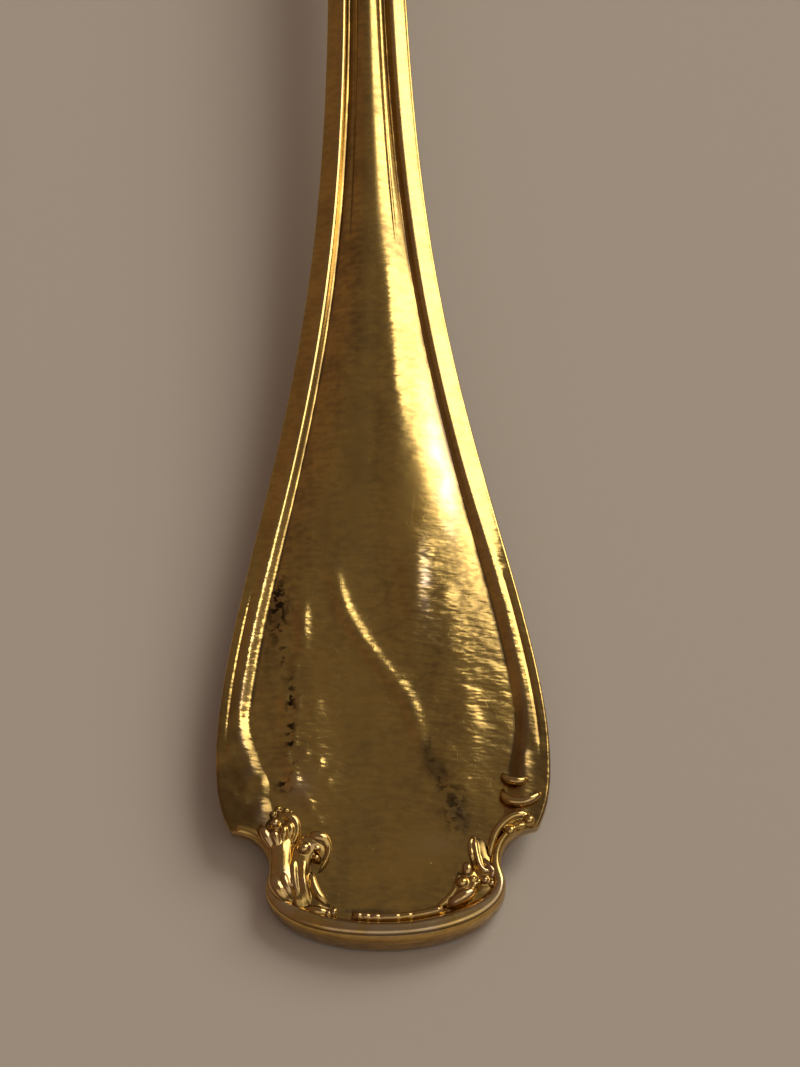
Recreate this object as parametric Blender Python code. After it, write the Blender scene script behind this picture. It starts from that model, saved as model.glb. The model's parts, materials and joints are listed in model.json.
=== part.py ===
"""Demitasse spoon with threaded edges, scrolled shoulders and a lobed tip, as a soldered assembly.

The spoon lies face up on a table. Its handle's tip points to -Y and its bowl to +Y.
Every piece is first drawn flat, as (across, along, up): across the spoon, along its spine from the
tip of the handle, and up from the seat that the mouldings are soldered to. The spine then carries
that flat drawing along the spoon's side profile. All sizes are in metres, and slopes in degrees.
"""
import math

import bmesh
import bpy
from mathutils import Matrix, Vector

# Plan of the handle: half widths, and lengths along the spine from the tip
HANDLE_LENGTH = 0.0740
LOBE_HALF_WIDTH = 0.00483
LOBE_LENGTH = 0.00245
WAIST_HALF_WIDTH = 0.00465
WAIST_LENGTH = 0.00090
SHOULDER_HALF_WIDTH = 0.00620
COVE_LENGTH = 0.00160
TERMINAL_HALF_WIDTH = 0.00681
SWELL_LENGTH = 0.00355
SWELL_POWER = 3.0
STEM_HALF_WIDTH = 0.00162
FLARE_LENGTH = 0.0180
FLARE_POWER = 1.62
NECK_HALF_WIDTH = 0.00205
NECK_LENGTH = 0.0120

# Side profile of the handle and the bowl
TIP_SLOPE = 8.0
NECK_SLOPE = -2.0
BOWL_SLOPE = 1.0
BEND_LENGTH = 0.0120

# Handle blank: its back, and the crowned panel on its face
TERMINAL_THICKNESS = 0.00125
STEM_THICKNESS = 0.00190
BACK_ROUNDING = 0.35
TERMINAL_CROWN = 0.00024
TERMINAL_CROWN_POWER = 4.0
STEM_CROWN = 0.00055
STEM_CROWN_POWER = 2.0
CROWN_FADE_LENGTH = 0.0035
LEAST_PANEL_SHARE = 0.35

# Threads and knuckles on the borders of the blank
SOLDER_GAP = 0.00005
THREAD_WIDTH_TERMINAL = 0.00127
THREAD_WIDTH_STEM = 0.00095
THREAD_HEIGHT = 0.00036
THREAD_END_HEIGHT = 0.00010
THREAD_FADE_LENGTH = 0.0080
THREAD_END_CLEARANCE = 0.0030
KNUCKLE_LENGTH = 0.00140
KNUCKLE_HEIGHT = 0.00048
KNUCKLE_DIP = 0.00026

# Rim, bead, leaves and curls at the tip
RIM_WIDTH = 0.00080
RIM_HEIGHT = 0.00060
RIM_SHOULDER_HEIGHT = 0.00042
LEAF_ROOT_WIDTH = 0.00020
LEAF_WIDTH = 0.00040
LEAF_HEAD_WIDTH = 0.00084
LEAF_HEIGHT = 0.00048
LEAF_ROOT_ANGLE = 62.0
LEAF_HEAD_ANGLE = 42.0
BEAD_WIDTH = 0.00040
BEAD_HEIGHT = 0.00026
CURL_WIDTH = 0.00052
CURL_HEAD_WIDTH = 0.00074
CURL_HEIGHT = 0.00046
CURL_TAIL_RADIUS = 0.00100
CURL_RISE = 0.00065
CURL_HOOK_RADIUS = 0.00040
CURL_HOOK_ANGLE = 205.0
RIDGE_END_SHARE = 0.3

# Bowl, and the half lap that joins it to the stem
BOWL_HALF_WIDTH = 0.01075
BOWL_HEEL_LENGTH = 0.0145
BOWL_FRONT_LENGTH = 0.0175
BOWL_DEPTH = 0.0048
BOWL_WALL = 0.00080
HEEL_LENGTH = 0.0020
HEEL_CROWN_LENGTH = 0.0040
HEEL_SWEEP_LENGTH = 0.0050
LAP_LENGTH = 0.0095
LAP_TIP_HALF_WIDTH = 0.0006
LAP_TIP_THICKNESS = 0.00045
LAP_STEP = 0.00002
MOST_LAP_ROUNDING = 0.7

# Flats where the spoon rests on the table
REST_FLAT_DEPTH = 0.00010

# Mesh resolution
SPINE_STEPS = 800
TIP_STATIONS = 9
WAIST_STATIONS = 4
ROOT_STATIONS = 5
COVE_STATIONS = 9
SWELL_STATIONS = 6
STEM_STATIONS = 34
LAP_STATIONS = 9
HEEL_STATIONS = 7
BOWL_STATIONS = 14
BOWL_COLUMNS = 17
THREAD_STATIONS = 40
KNUCKLE_STATIONS = 11
RIDGE_STATIONS = 12
HOOK_STATIONS = 11
FIRST_TIP_ANGLE = 4.0
RIGHT_ANGLE = 90.0
SOLVER_STEPS = 40

# Stations along the spine that follow from the sizes above
WAIST_STATION = LOBE_LENGTH + WAIST_LENGTH
SHOULDER_STATION = WAIST_STATION + COVE_LENGTH
WIDEST_STATION = SHOULDER_STATION + SWELL_LENGTH
KNUCKLE_STATION = SHOULDER_STATION + RIM_WIDTH + SOLDER_GAP
THREAD_STATION = KNUCKLE_STATION + KNUCKLE_LENGTH + SOLDER_GAP
THREAD_END_STATION = HANDLE_LENGTH - THREAD_END_CLEARANCE
BOWL_STATION = HANDLE_LENGTH + LAP_STEP + SOLDER_GAP
BOWL_OVAL_STATION = HANDLE_LENGTH + HEEL_LENGTH
BOWL_MIDDLE_STATION = BOWL_OVAL_STATION + BOWL_HEEL_LENGTH
BOWL_END_STATION = BOWL_MIDDLE_STATION + BOWL_FRONT_LENGTH
SWEEP_END_STATION = HANDLE_LENGTH + HEEL_SWEEP_LENGTH

# Sections: shares of a moulding's width from its outer foot, and of its height
THREAD_SECTION = ((0, 0), (0, 0.4), (0.14, 0.75), (0.42, 1), (0.7, 0.96), (0.92, 0.62), (1, 0))
RIM_SECTION = ((0, 0), (0, 0.45), (0.14, 0.82), (0.42, 1), (0.72, 0.84), (0.95, 0.4), (1, 0))
RIDGE_SECTION = ((0, 0), (0.06, 0.5), (0.22, 0.86), (0.5, 1), (0.78, 0.86), (0.94, 0.5), (1, 0))
BACK_SHARES = (1, 0.92, 0.75, 0.45, 0, -0.45, -0.75, -0.92, -1)
PANEL_SHARES = (-1, -0.88, -0.66, -0.36, 0, 0.36, 0.66, 0.88, 1)
LAP_SHARES = (-1, -0.9, -0.75, -0.55, -0.3, 0, 0.3, 0.55, 0.75, 0.9, 1)

# Finishes: base colour, roughness
GILT_FACE = ((0.62, 0.42, 0.13, 1.0), 0.26)
GILT_EDGE = ((0.72, 0.50, 0.16, 1.0), 0.18)
WORN_TIP = ((0.70, 0.55, 0.30, 1.0), 0.20)


def smooth_step(value):
    """Ease from 0 to 1, flat at both ends."""
    value = min(1.0, max(0.0, value))
    return value * value * (3.0 - 2.0 * value)


def mix(start, end, share):
    """Value a share of the way from start to end."""
    return start + (end - start) * share


def spread(start, end, count):
    """Evenly spaced values from start to end, both included."""
    return [mix(start, end, index / (count - 1)) for index in range(count)]


# Spine


def slope_at(along):
    """Slope of the spine, in radians."""
    if along <= HANDLE_LENGTH:
        return math.radians(mix(TIP_SLOPE, NECK_SLOPE, along / HANDLE_LENGTH))
    bend = smooth_step((along - HANDLE_LENGTH) / BEND_LENGTH)
    return math.radians(mix(NECK_SLOPE, BOWL_SLOPE, bend))


def spine_profile():
    """Points of the spine as (forward, up), evenly spaced along it."""
    step = BOWL_END_STATION / SPINE_STEPS
    points = [(0.0, 0.0)]
    for index in range(SPINE_STEPS):
        slope = slope_at((index + 0.5) * step)
        forward, up = points[-1]
        points.append((forward + step * math.cos(slope), up + step * math.sin(slope)))
    return points


SPINE = spine_profile()


def spine_point(across, along, up):
    """Carry a point of the flat drawing onto the spine."""
    place = along / BOWL_END_STATION * SPINE_STEPS
    index = min(int(place), SPINE_STEPS - 1)
    near = SPINE[index]
    far = SPINE[index + 1]
    slope = slope_at(along)
    forward = mix(near[0], far[0], place - index) - up * math.sin(slope)
    return Vector((across, forward, mix(near[1], far[1], place - index) + up * math.cos(slope)))


# Outline of the handle


def tip_outline(angle):
    """Point and inward direction of the lobe's edge, from its middle (0) to its side (90 degrees)."""
    turn = math.radians(angle)
    point = Vector((LOBE_HALF_WIDTH * math.sin(turn), LOBE_LENGTH * (1.0 - math.cos(turn))))
    inward = Vector((-LOBE_LENGTH * math.sin(turn), LOBE_HALF_WIDTH * math.cos(turn)))
    return point, inward.normalized()


def waist_outline(share):
    """Point and inward direction between the lobe's side (0) and the waist (1)."""
    narrowing = LOBE_HALF_WIDTH - WAIST_HALF_WIDTH
    turn = math.pi * share
    across = LOBE_HALF_WIDTH - narrowing * (1.0 - math.cos(turn)) / 2.0
    inward = Vector((-WAIST_LENGTH, -narrowing * math.pi * math.sin(turn) / 2.0))
    return Vector((across, LOBE_LENGTH + WAIST_LENGTH * share)), inward.normalized()


def cove_outline(angle):
    """Point and inward direction of the cove, from the waist (0) to the shoulder (90 degrees)."""
    turn = math.radians(angle)
    reach = SHOULDER_HALF_WIDTH - WAIST_HALF_WIDTH
    across = SHOULDER_HALF_WIDTH - reach * math.cos(turn)
    inward = Vector((-COVE_LENGTH * math.cos(turn), reach * math.sin(turn)))
    return Vector((across, WAIST_STATION + COVE_LENGTH * math.sin(turn))), inward.normalized()


def half_width(along):
    """Half of the handle's width at a station."""
    if along <= LOBE_LENGTH:
        return LOBE_HALF_WIDTH * math.sqrt(1.0 - (1.0 - along / LOBE_LENGTH) ** 2)
    if along <= WAIST_STATION:
        return waist_outline((along - LOBE_LENGTH) / WAIST_LENGTH)[0].x
    if along <= SHOULDER_STATION:
        share = min(1.0, (along - WAIST_STATION) / COVE_LENGTH)
        return cove_outline(math.degrees(math.asin(share)))[0].x
    if along <= WIDEST_STATION:
        share = (WIDEST_STATION - along) / SWELL_LENGTH
        return mix(TERMINAL_HALF_WIDTH, SHOULDER_HALF_WIDTH, share ** SWELL_POWER)
    flare = math.exp(-((along - WIDEST_STATION) / FLARE_LENGTH) ** FLARE_POWER)
    neck = smooth_step((along - HANDLE_LENGTH + NECK_LENGTH) / NECK_LENGTH)
    return mix(mix(STEM_HALF_WIDTH, TERMINAL_HALF_WIDTH, flare), NECK_HALF_WIDTH, neck)


def flare_share(along):
    """How much of the terminal's extra width a station has: 0 on the stem, 1 at the widest place."""
    share = (half_width(along) - STEM_HALF_WIDTH) / (TERMINAL_HALF_WIDTH - STEM_HALF_WIDTH)
    return min(1.0, max(0.0, share))


# Handle blank


def thread_width(along):
    """Width of the border that carries a thread."""
    return mix(THREAD_WIDTH_STEM, THREAD_WIDTH_TERMINAL, flare_share(along))


def panel_half_width(along):
    """Half width of the panel between the borders."""
    half = half_width(along)
    return max(half - thread_width(along) - SOLDER_GAP, LEAST_PANEL_SHARE * half)


def panel_height(across, along):
    """Height of the crowned panel above the seat of the mouldings."""
    share = flare_share(along)
    crown = mix(STEM_CROWN, TERMINAL_CROWN, share)
    crown *= smooth_step((along - KNUCKLE_STATION) / CROWN_FADE_LENGTH)
    power = mix(STEM_CROWN_POWER, TERMINAL_CROWN_POWER, share)
    outward = min(1.0, abs(across) / panel_half_width(along))
    return crown * (1.0 - outward ** power)


def blank_thickness(along):
    """Thickness of the blank below the seat of the mouldings, on the axis."""
    return mix(STEM_THICKNESS, TERMINAL_THICKNESS, flare_share(max(along, WIDEST_STATION)))


def blank_ring(along):
    """Section of the blank: its back from right to left, then its face from left to right."""
    half = half_width(along)
    panel = panel_half_width(along)
    thickness = blank_thickness(along)
    tip_rounding = max(0.0, 1.0 - along / RIM_WIDTH) ** 2
    ring = []
    for share in BACK_SHARES:
        rounding = BACK_ROUNDING * max(share ** 4, tip_rounding)
        ring.append((half * share, along, -thickness * (1.0 - rounding)))
    ring.append((-half, along, 0.0))
    for share in PANEL_SHARES:
        ring.append((panel * share, along, panel_height(panel * share, along)))
    ring.append((half, along, 0.0))
    return ring


def lap_ring(along):
    """Section of the blank's tongue, which laps under the heel of the bowl."""
    share = (along - HANDLE_LENGTH) / LAP_LENGTH
    half = mix(NECK_HALF_WIDTH, LAP_TIP_HALF_WIDTH, share ** 2)
    whole = blank_thickness(HANDLE_LENGTH)
    start = whole - BOWL_WALL - SOLDER_GAP
    thickness = mix(start, LAP_TIP_THICKNESS, share)
    ring = []
    for place in BACK_SHARES:
        rounding = min(MOST_LAP_ROUNDING, BACK_ROUNDING * whole / start) * place ** 4
        seat = bowl_back(half * place, along) - SOLDER_GAP
        ring.append((half * place, along, seat - thickness * (1.0 - rounding)))
    for place in LAP_SHARES:
        ring.append((half * place, along, bowl_back(half * place, along) - SOLDER_GAP))
    return ring


def blank_rings():
    """Sections of the whole blank, from the tip to the end of its tongue."""
    stations = [tip_outline(angle)[0].y for angle in spread(FIRST_TIP_ANGLE, RIGHT_ANGLE, TIP_STATIONS)]
    stations += spread(LOBE_LENGTH, WAIST_STATION, WAIST_STATIONS)[1:]
    stations += [cove_outline(angle)[0].y for angle in spread(0.0, RIGHT_ANGLE, COVE_STATIONS)[1:]]
    stations += spread(SHOULDER_STATION, WIDEST_STATION, SWELL_STATIONS)[1:]
    stations += spread(WIDEST_STATION, HANDLE_LENGTH, STEM_STATIONS)[1:]
    lap = spread(HANDLE_LENGTH + LAP_STEP, HANDLE_LENGTH + LAP_LENGTH, LAP_STATIONS)
    return [blank_ring(along) for along in stations] + [lap_ring(along) for along in lap]


# Bowl


def bowl_oval(along):
    """Half of the oval's width at a station."""
    length = BOWL_FRONT_LENGTH if along >= BOWL_MIDDLE_STATION else BOWL_HEEL_LENGTH
    share = (along - BOWL_MIDDLE_STATION) / length
    return BOWL_HALF_WIDTH * math.sqrt(max(0.0, 1.0 - share * share))


def bowl_half_width(along):
    """Half of the bowl's width at a station, with a sweep from the neck out to the oval."""
    if along >= SWEEP_END_STATION:
        return bowl_oval(along)
    end = bowl_oval(SWEEP_END_STATION)
    back = (BOWL_MIDDLE_STATION - SWEEP_END_STATION) / BOWL_HEEL_LENGTH
    end_slope = BOWL_HALF_WIDTH ** 2 * back / (BOWL_HEEL_LENGTH * end)
    share = (along - HANDLE_LENGTH) / HEEL_SWEEP_LENGTH
    straight = mix(NECK_HALF_WIDTH, end, smooth_step(share))
    return straight - end_slope * HEEL_SWEEP_LENGTH * share ** 2 * (1.0 - share)


def bowl_hollow(across, along):
    """Depth of the bowl's inside below its rim."""
    length = BOWL_FRONT_LENGTH if along >= BOWL_MIDDLE_STATION else BOWL_HEEL_LENGTH
    reach = (across / BOWL_HALF_WIDTH) ** 2 + ((along - BOWL_MIDDLE_STATION) / length) ** 2
    return BOWL_DEPTH * max(0.0, 1.0 - reach)


def bowl_back(across, along):
    """Height of the bowl's outside."""
    return -bowl_hollow(across, along) - BOWL_WALL


def bowl_face(across, along):
    """Height of the bowl's inside, with the stem's panel dying away over the heel."""
    fade = 1.0 - smooth_step((along - HANDLE_LENGTH) / HEEL_CROWN_LENGTH)
    return panel_height(across, HANDLE_LENGTH) * fade - bowl_hollow(across, along)


def bowl_ring(along):
    """Section of the bowl: its back from right to left, then its face from left to right."""
    half = bowl_half_width(along)
    columns = [half * math.cos(angle) for angle in spread(0.0, math.pi, BOWL_COLUMNS)]
    back = [(across, along, bowl_back(across, along)) for across in columns]
    face = [(across, along, bowl_face(across, along)) for across in reversed(columns)]
    return back + face


def bowl_rings():
    """Sections of the bowl, from the joint at its heel to its front."""
    stations = spread(BOWL_STATION, BOWL_OVAL_STATION, HEEL_STATIONS)
    quarter = [math.radians(angle) for angle in spread(0.0, RIGHT_ANGLE, BOWL_STATIONS)]
    stations += [BOWL_MIDDLE_STATION - BOWL_HEEL_LENGTH * math.cos(turn) for turn in quarter[1:]]
    last = math.radians(RIGHT_ANGLE - FIRST_TIP_ANGLE)
    front = spread(0.0, last, BOWL_STATIONS)
    stations += [BOWL_MIDDLE_STATION + BOWL_FRONT_LENGTH * math.sin(turn) for turn in front[1:]]
    return [bowl_ring(along) for along in stations]


# Mouldings


def border_ring(along, height):
    """Section of a moulding that fills the border of the handle, on the right side."""
    outer = half_width(along)
    width = thread_width(along)
    return [(outer - width * share, along, SOLDER_GAP + height * rise) for share, rise in THREAD_SECTION]


def thread_rings():
    """Sections of a thread, which dies away near the bowl."""
    rings = []
    for along in spread(THREAD_STATION, THREAD_END_STATION, THREAD_STATIONS):
        fade = smooth_step((along - THREAD_END_STATION + THREAD_FADE_LENGTH) / THREAD_FADE_LENGTH)
        rings.append(border_ring(along, mix(THREAD_HEIGHT, THREAD_END_HEIGHT, fade)))
    return rings


def knuckle_rings():
    """Sections of the two knuckles that end a thread at the shoulder."""
    rings = []
    for share in spread(0.0, 1.0, KNUCKLE_STATIONS):
        swell = math.sin(2.0 * math.pi * share) ** 2
        height = mix(KNUCKLE_DIP, KNUCKLE_HEIGHT, swell)
        rings.append(border_ring(KNUCKLE_STATION + KNUCKLE_LENGTH * share, height))
    return rings


def ridge_ring(centre, sideways, width, height):
    """Section of a round-topped ridge across its path."""
    ring = []
    for share, rise in RIDGE_SECTION:
        place = centre + sideways * (width * (share - 0.5))
        ring.append((place.x, place.y, SOLDER_GAP + height * rise))
    return ring


def rim_half():
    """Points, inward directions and heights of the rim, from the middle of the tip to a shoulder."""
    frames = [tip_outline(angle) for angle in spread(0.0, RIGHT_ANGLE, RIDGE_STATIONS)]
    frames += [waist_outline(share) for share in spread(0.0, 1.0, WAIST_STATIONS)[1:]]
    frames += [cove_outline(angle) for angle in spread(0.0, RIGHT_ANGLE, RIDGE_STATIONS)[1:]]
    half = []
    for point, inward in frames:
        height = mix(RIM_HEIGHT, RIM_SHOULDER_HEIGHT, smooth_step(point.y / SHOULDER_STATION))
        half.append((point, inward, height))
    return half


def rim_rings():
    """Sections of the rim, from the left shoulder round the tip to the right one."""
    right = []
    for point, inward, height in rim_half():
        places = [(point + inward * (RIM_WIDTH * share), rise) for share, rise in RIM_SECTION]
        right.append([(place.x, place.y, SOLDER_GAP + height * rise) for place, rise in places])
    left = [mirrored(ring) for ring in reversed(right[1:])]
    return left + right


def leaf_rings():
    """Sections of the leaf that lies inside the rim, from its root in the lobe to its head."""
    frames = []
    for angle in spread(LEAF_ROOT_ANGLE, RIGHT_ANGLE, ROOT_STATIONS):
        growth = (angle - LEAF_ROOT_ANGLE) / (RIGHT_ANGLE - LEAF_ROOT_ANGLE)
        frames.append((*tip_outline(angle), mix(LEAF_ROOT_WIDTH, LEAF_WIDTH, growth / 2.0)))
    for share in spread(0.0, 1.0, WAIST_STATIONS)[1:]:
        frames.append((*waist_outline(share), mix(LEAF_ROOT_WIDTH, LEAF_WIDTH, (1.0 + share) / 2.0)))
    for angle in spread(0.0, LEAF_HEAD_ANGLE, RIDGE_STATIONS)[1:]:
        swell = smooth_step(angle / LEAF_HEAD_ANGLE)
        frames.append((*cove_outline(angle), mix(LEAF_WIDTH, LEAF_HEAD_WIDTH, swell)))
    rings = []
    for index, (point, inward, full_width) in enumerate(frames):
        share = index / (len(frames) - 1)
        closing = rounded_end(share) * rounded_end(1.0 - share)
        width = full_width * closing
        centre = point + inward * (RIM_WIDTH + SOLDER_GAP + width / 2.0)
        rings.append(ridge_ring(centre, inward, width, LEAF_HEIGHT * closing))
    return rings


def rounded_end(share):
    """Share of a ridge's full size near its end: it closes like a finger's tip."""
    reach = 1.0 - min(1.0, share * RIDGE_STATIONS / 3.0)
    return mix(RIDGE_END_SHARE, 1.0, math.sqrt(1.0 - reach * reach))


def bead_offset(angle):
    """Point and inward direction on the bead's line, which keeps to the inside of the rim."""
    point, inward = tip_outline(angle)
    return point + inward * (RIM_WIDTH + SOLDER_GAP + BEAD_WIDTH / 2.0), inward


def curl_line():
    """Distance from the axis to the upright part of a curl, beside the leaf."""
    return WAIST_HALF_WIDTH - RIM_WIDTH - LEAF_WIDTH - CURL_WIDTH / 2.0 - 2.0 * SOLDER_GAP


def bead_end_angle():
    """Angle on the tip where the bead gives way to the curl's tail, found by halving."""
    low = 0.0
    high = RIGHT_ANGLE
    for _ in range(SOLVER_STEPS):
        middle = (low + high) / 2.0
        point, inward = bead_offset(middle)
        if point.x + CURL_TAIL_RADIUS * (1.0 + inward.x) < curl_line():
            low = middle
        else:
            high = middle
    return low


def bead_rings():
    """Sections of the bead along the tip, between the tails of the two curls."""
    right = []
    for angle in spread(0.0, bead_end_angle(), RIDGE_STATIONS):
        centre, inward = bead_offset(angle)
        right.append(ridge_ring(centre, inward, BEAD_WIDTH, BEAD_HEIGHT))
    left = [mirrored(ring) for ring in reversed(right[1:])]
    return left + right


def curl_rings():
    """Sections of a curl: its tail from the bead's end, its upright and its hooked head."""
    end, inward = bead_offset(bead_end_angle())
    ahead = Vector((inward.y, -inward.x))
    start = end + ahead * SOLDER_GAP
    centre = start + inward * CURL_TAIL_RADIUS
    first = math.atan2(-inward.y, -inward.x)
    path = []
    for turn in spread(first, 0.0, RIDGE_STATIONS):
        outward = Vector((math.cos(turn), math.sin(turn)))
        path.append((centre + outward * CURL_TAIL_RADIUS, -outward))
    tail_top = path[-1][0]
    hook = Vector((tail_top.x - CURL_HOOK_RADIUS, WAIST_STATION + CURL_RISE))
    for angle in spread(0.0, CURL_HOOK_ANGLE, HOOK_STATIONS):
        turn = math.radians(angle)
        outward = Vector((math.cos(turn), math.sin(turn)))
        path.append((hook + outward * CURL_HOOK_RADIUS, -outward))
    rings = []
    for index, (place, sideways) in enumerate(path):
        share = index / (len(path) - 1)
        swell = smooth_step(2.0 * share - 1.0)
        end_share = rounded_end(1.0 - share)
        width = mix(mix(BEAD_WIDTH, CURL_WIDTH, smooth_step(2.0 * share)), CURL_HEAD_WIDTH, swell) * end_share
        height = mix(BEAD_HEIGHT, CURL_HEIGHT, smooth_step(2.0 * share)) * end_share
        rings.append(ridge_ring(place, sideways, width, height))
    return rings


def mirrored(ring):
    """The same section on the other side of the spoon."""
    return [(-across, along, up) for across, along, up in ring]


# Resting place


def rest_pitch(tip_points, bowl_points):
    """Angle that brings the lowest points of the tip and the bowl level, and their height."""
    pitch = 0.0
    for _ in range(SOLVER_STEPS):
        turn = Matrix.Rotation(pitch, 3, "X")
        tip = min((turn @ point for point in tip_points), key=lambda point: point.z)
        bowl = min((turn @ point for point in bowl_points), key=lambda point: point.z)
        pitch -= math.atan2(bowl.z - tip.z, bowl.y - tip.y)
    return pitch, tip.z


# Objects


def make_material(name, finish):
    """A metal with one colour and roughness."""
    colour, roughness = finish
    material = bpy.data.materials.new(name)
    material.use_nodes = True
    shader = material.node_tree.nodes["Principled BSDF"]
    shader.inputs["Base Color"].default_value = colour
    shader.inputs["Metallic"].default_value = 1.0
    shader.inputs["Roughness"].default_value = roughness
    return material


def make_loft(name, rings, finish, parent, floor=None):
    """Join sections into one closed solid, and cut it flat where it stands on the floor."""
    anchor = spine_point(0.0, rings[0][0][1], 0.0)
    builder = bmesh.new()
    loops = [[builder.verts.new(spine_point(*point)) for point in ring] for ring in rings]
    count = len(loops[0])
    for near, far in zip(loops, loops[1:]):
        for index in range(count):
            following = (index + 1) % count
            builder.faces.new((near[index], near[following], far[following], far[index]))
    builder.faces.new(loops[0])
    builder.faces.new(loops[-1])
    if floor is not None:
        cut_flat(builder, floor)
    bmesh.ops.recalc_face_normals(builder, faces=builder.faces)
    bmesh.ops.translate(builder, verts=builder.verts, vec=-anchor)
    mesh = bpy.data.meshes.new(name)
    builder.to_mesh(mesh)
    builder.free()
    mesh.shade_smooth()
    mesh.materials.append(make_material(name + "_finish", finish))
    piece = bpy.data.objects.new(name, mesh)
    bpy.context.scene.collection.objects.link(piece)
    piece.parent = parent
    piece.location = anchor
    return piece


def cut_flat(builder, floor):
    """Cut away what lies below the floor and close the cut with one flat face."""
    normal, height = floor
    everything = builder.verts[:] + builder.edges[:] + builder.faces[:]
    cut = bmesh.ops.bisect_plane(
        builder, geom=everything, plane_co=normal * height, plane_no=normal, clear_inner=True)
    edges = [item for item in cut["geom_cut"] if isinstance(item, bmesh.types.BMEdge)]
    bmesh.ops.edgeloop_fill(builder, edges=edges)


def clear_scene():
    """Remove every object that the file opened with."""
    for item in list(bpy.data.objects):
        bpy.data.objects.remove(item, do_unlink=True)


def build():
    """Model the spoon's pieces and set it on the table."""
    clear_scene()
    spoon = bpy.data.objects.new("spoon", None)
    bpy.context.scene.collection.objects.link(spoon)

    blank = blank_rings()
    bowl = bowl_rings()
    tip_points = [spine_point(*point) for ring in blank for point in ring if point[1] < WIDEST_STATION]
    bowl_points = [spine_point(*point) for ring in bowl for point in ring]
    pitch, lowest = rest_pitch(tip_points, bowl_points)
    floor = (Matrix.Rotation(-pitch, 3, "X") @ Vector((0.0, 0.0, 1.0)), lowest + REST_FLAT_DEPTH)

    pieces = [
        make_loft("handle_blank", blank, GILT_FACE, spoon, floor),
        make_loft("bowl", bowl, GILT_FACE, spoon, floor),
        make_loft("tip_rim", rim_rings(), WORN_TIP, spoon),
        make_loft("tip_bead", bead_rings(), GILT_EDGE, spoon),
    ]
    mouldings = {
        "thread": thread_rings(),
        "knuckles": knuckle_rings(),
        "leaf": leaf_rings(),
        "curl": curl_rings(),
    }
    for name, rings in mouldings.items():
        pieces.append(make_loft("right_" + name, rings, GILT_EDGE, spoon))
        pieces.append(make_loft("left_" + name, [mirrored(ring) for ring in rings], GILT_EDGE, spoon))

    spoon.rotation_euler.x = pitch
    bpy.context.view_layer.update()
    reach = [(piece.matrix_world @ vertex.co).y for piece in pieces for vertex in piece.data.vertices]
    spoon.location = (0.0, -(min(reach) + max(reach)) / 2.0, -floor[1])


build()
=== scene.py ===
"""Looks of a gilt demitasse spoon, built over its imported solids.

Every piece is first drawn flat, in millimetres, as (across, along, up): across the spoon, along
its spine from the tip of the handle, and up from the seat that the mouldings sit on. The spine
then carries that drawing onto the spoon's side profile, in the frame's metres.
"""
from __future__ import annotations

import json
import logging
import math
from abc import ABC, abstractmethod
from collections.abc import Callable
from dataclasses import dataclass, field
from enum import Enum

import bmesh
import bpy
import numpy as np
from mathutils import Matrix, Vector

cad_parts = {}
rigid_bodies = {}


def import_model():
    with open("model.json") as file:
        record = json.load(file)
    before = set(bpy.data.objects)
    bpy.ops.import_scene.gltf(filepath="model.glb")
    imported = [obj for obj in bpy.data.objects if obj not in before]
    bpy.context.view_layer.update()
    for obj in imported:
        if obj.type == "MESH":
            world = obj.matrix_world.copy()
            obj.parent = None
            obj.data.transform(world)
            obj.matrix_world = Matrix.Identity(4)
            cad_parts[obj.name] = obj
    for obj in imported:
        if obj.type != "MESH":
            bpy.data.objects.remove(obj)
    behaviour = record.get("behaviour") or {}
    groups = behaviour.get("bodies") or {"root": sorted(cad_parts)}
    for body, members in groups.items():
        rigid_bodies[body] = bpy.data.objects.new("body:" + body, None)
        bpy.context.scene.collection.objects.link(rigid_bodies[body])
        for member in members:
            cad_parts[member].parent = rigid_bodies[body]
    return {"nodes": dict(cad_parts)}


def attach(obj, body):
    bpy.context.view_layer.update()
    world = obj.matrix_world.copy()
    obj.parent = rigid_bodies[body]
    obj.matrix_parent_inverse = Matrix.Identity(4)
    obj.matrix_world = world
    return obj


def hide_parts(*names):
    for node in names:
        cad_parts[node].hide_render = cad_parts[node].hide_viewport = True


LOG = logging.getLogger("demitasse_spoon")
MILLIMETRE = 0.001
BODY = "root"
SHARP_ANGLE = math.radians(70.0)
WELD_DISTANCE = 1e-8
LEAST_EDGE = 1e-9
BLUR_REACH = 3.0

# Sizes that several pieces share, in millimetres
HANDLE_LENGTH = 74.0
SPREAD_START = 6.9
KNUCKLES_END = 7.0
SINK = 0.15
FOOT_INSET = 0.03

# Sockets that the Mix node uses for colours
MIX_FIRST = 6
MIX_SECOND = 7
MIX_RESULT = 2

Points = np.ndarray
Values = np.ndarray
Loop = tuple[int, ...]
Colour = tuple[float, float, float]
Surface = Callable[[np.ndarray, np.ndarray], np.ndarray]
Socket = bpy.types.NodeSocket
Tree = bpy.types.NodeTree


class Side(Enum):
    """The two sides of the spoon, seen from above with the tip towards the viewer."""

    RIGHT = 1
    LEFT = -1

    @property
    def word(self) -> str:
        """The side's name in lower case."""
        return self.name.lower()


class Slot(Enum):
    """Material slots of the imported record."""

    BODY = "gilt_body"
    MOULDINGS = "gilt_mouldings"
    RIM = "worn_rim"


class Mark(Enum):
    """Marks that a finish follows, each an attribute of the mesh."""

    CREST = "crest"
    # Tarnish, and painted shade in grooves, at the feet of mouldings and under the tip
    RECESS = "recess"
    BEATEN = "beaten"
    PITTED = "pitted"


class Effect(Enum):
    """Shared surface effects, each a shader node group."""

    RIPPLE = "hammer_ripple"
    SCRATCHES = "hairline_scratches"
    BLOOM = "tarnish_bloom"
    WEAR = "crest_wear"
    PITS = "pit_marks"


class Ramp(Enum):
    """Ways for a value to go from one level to another."""

    SOFT = "SMOOTHSTEP"
    STRAIGHT = "LINEAR"


Marks = dict[Mark, Values]


# Small helpers


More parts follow.
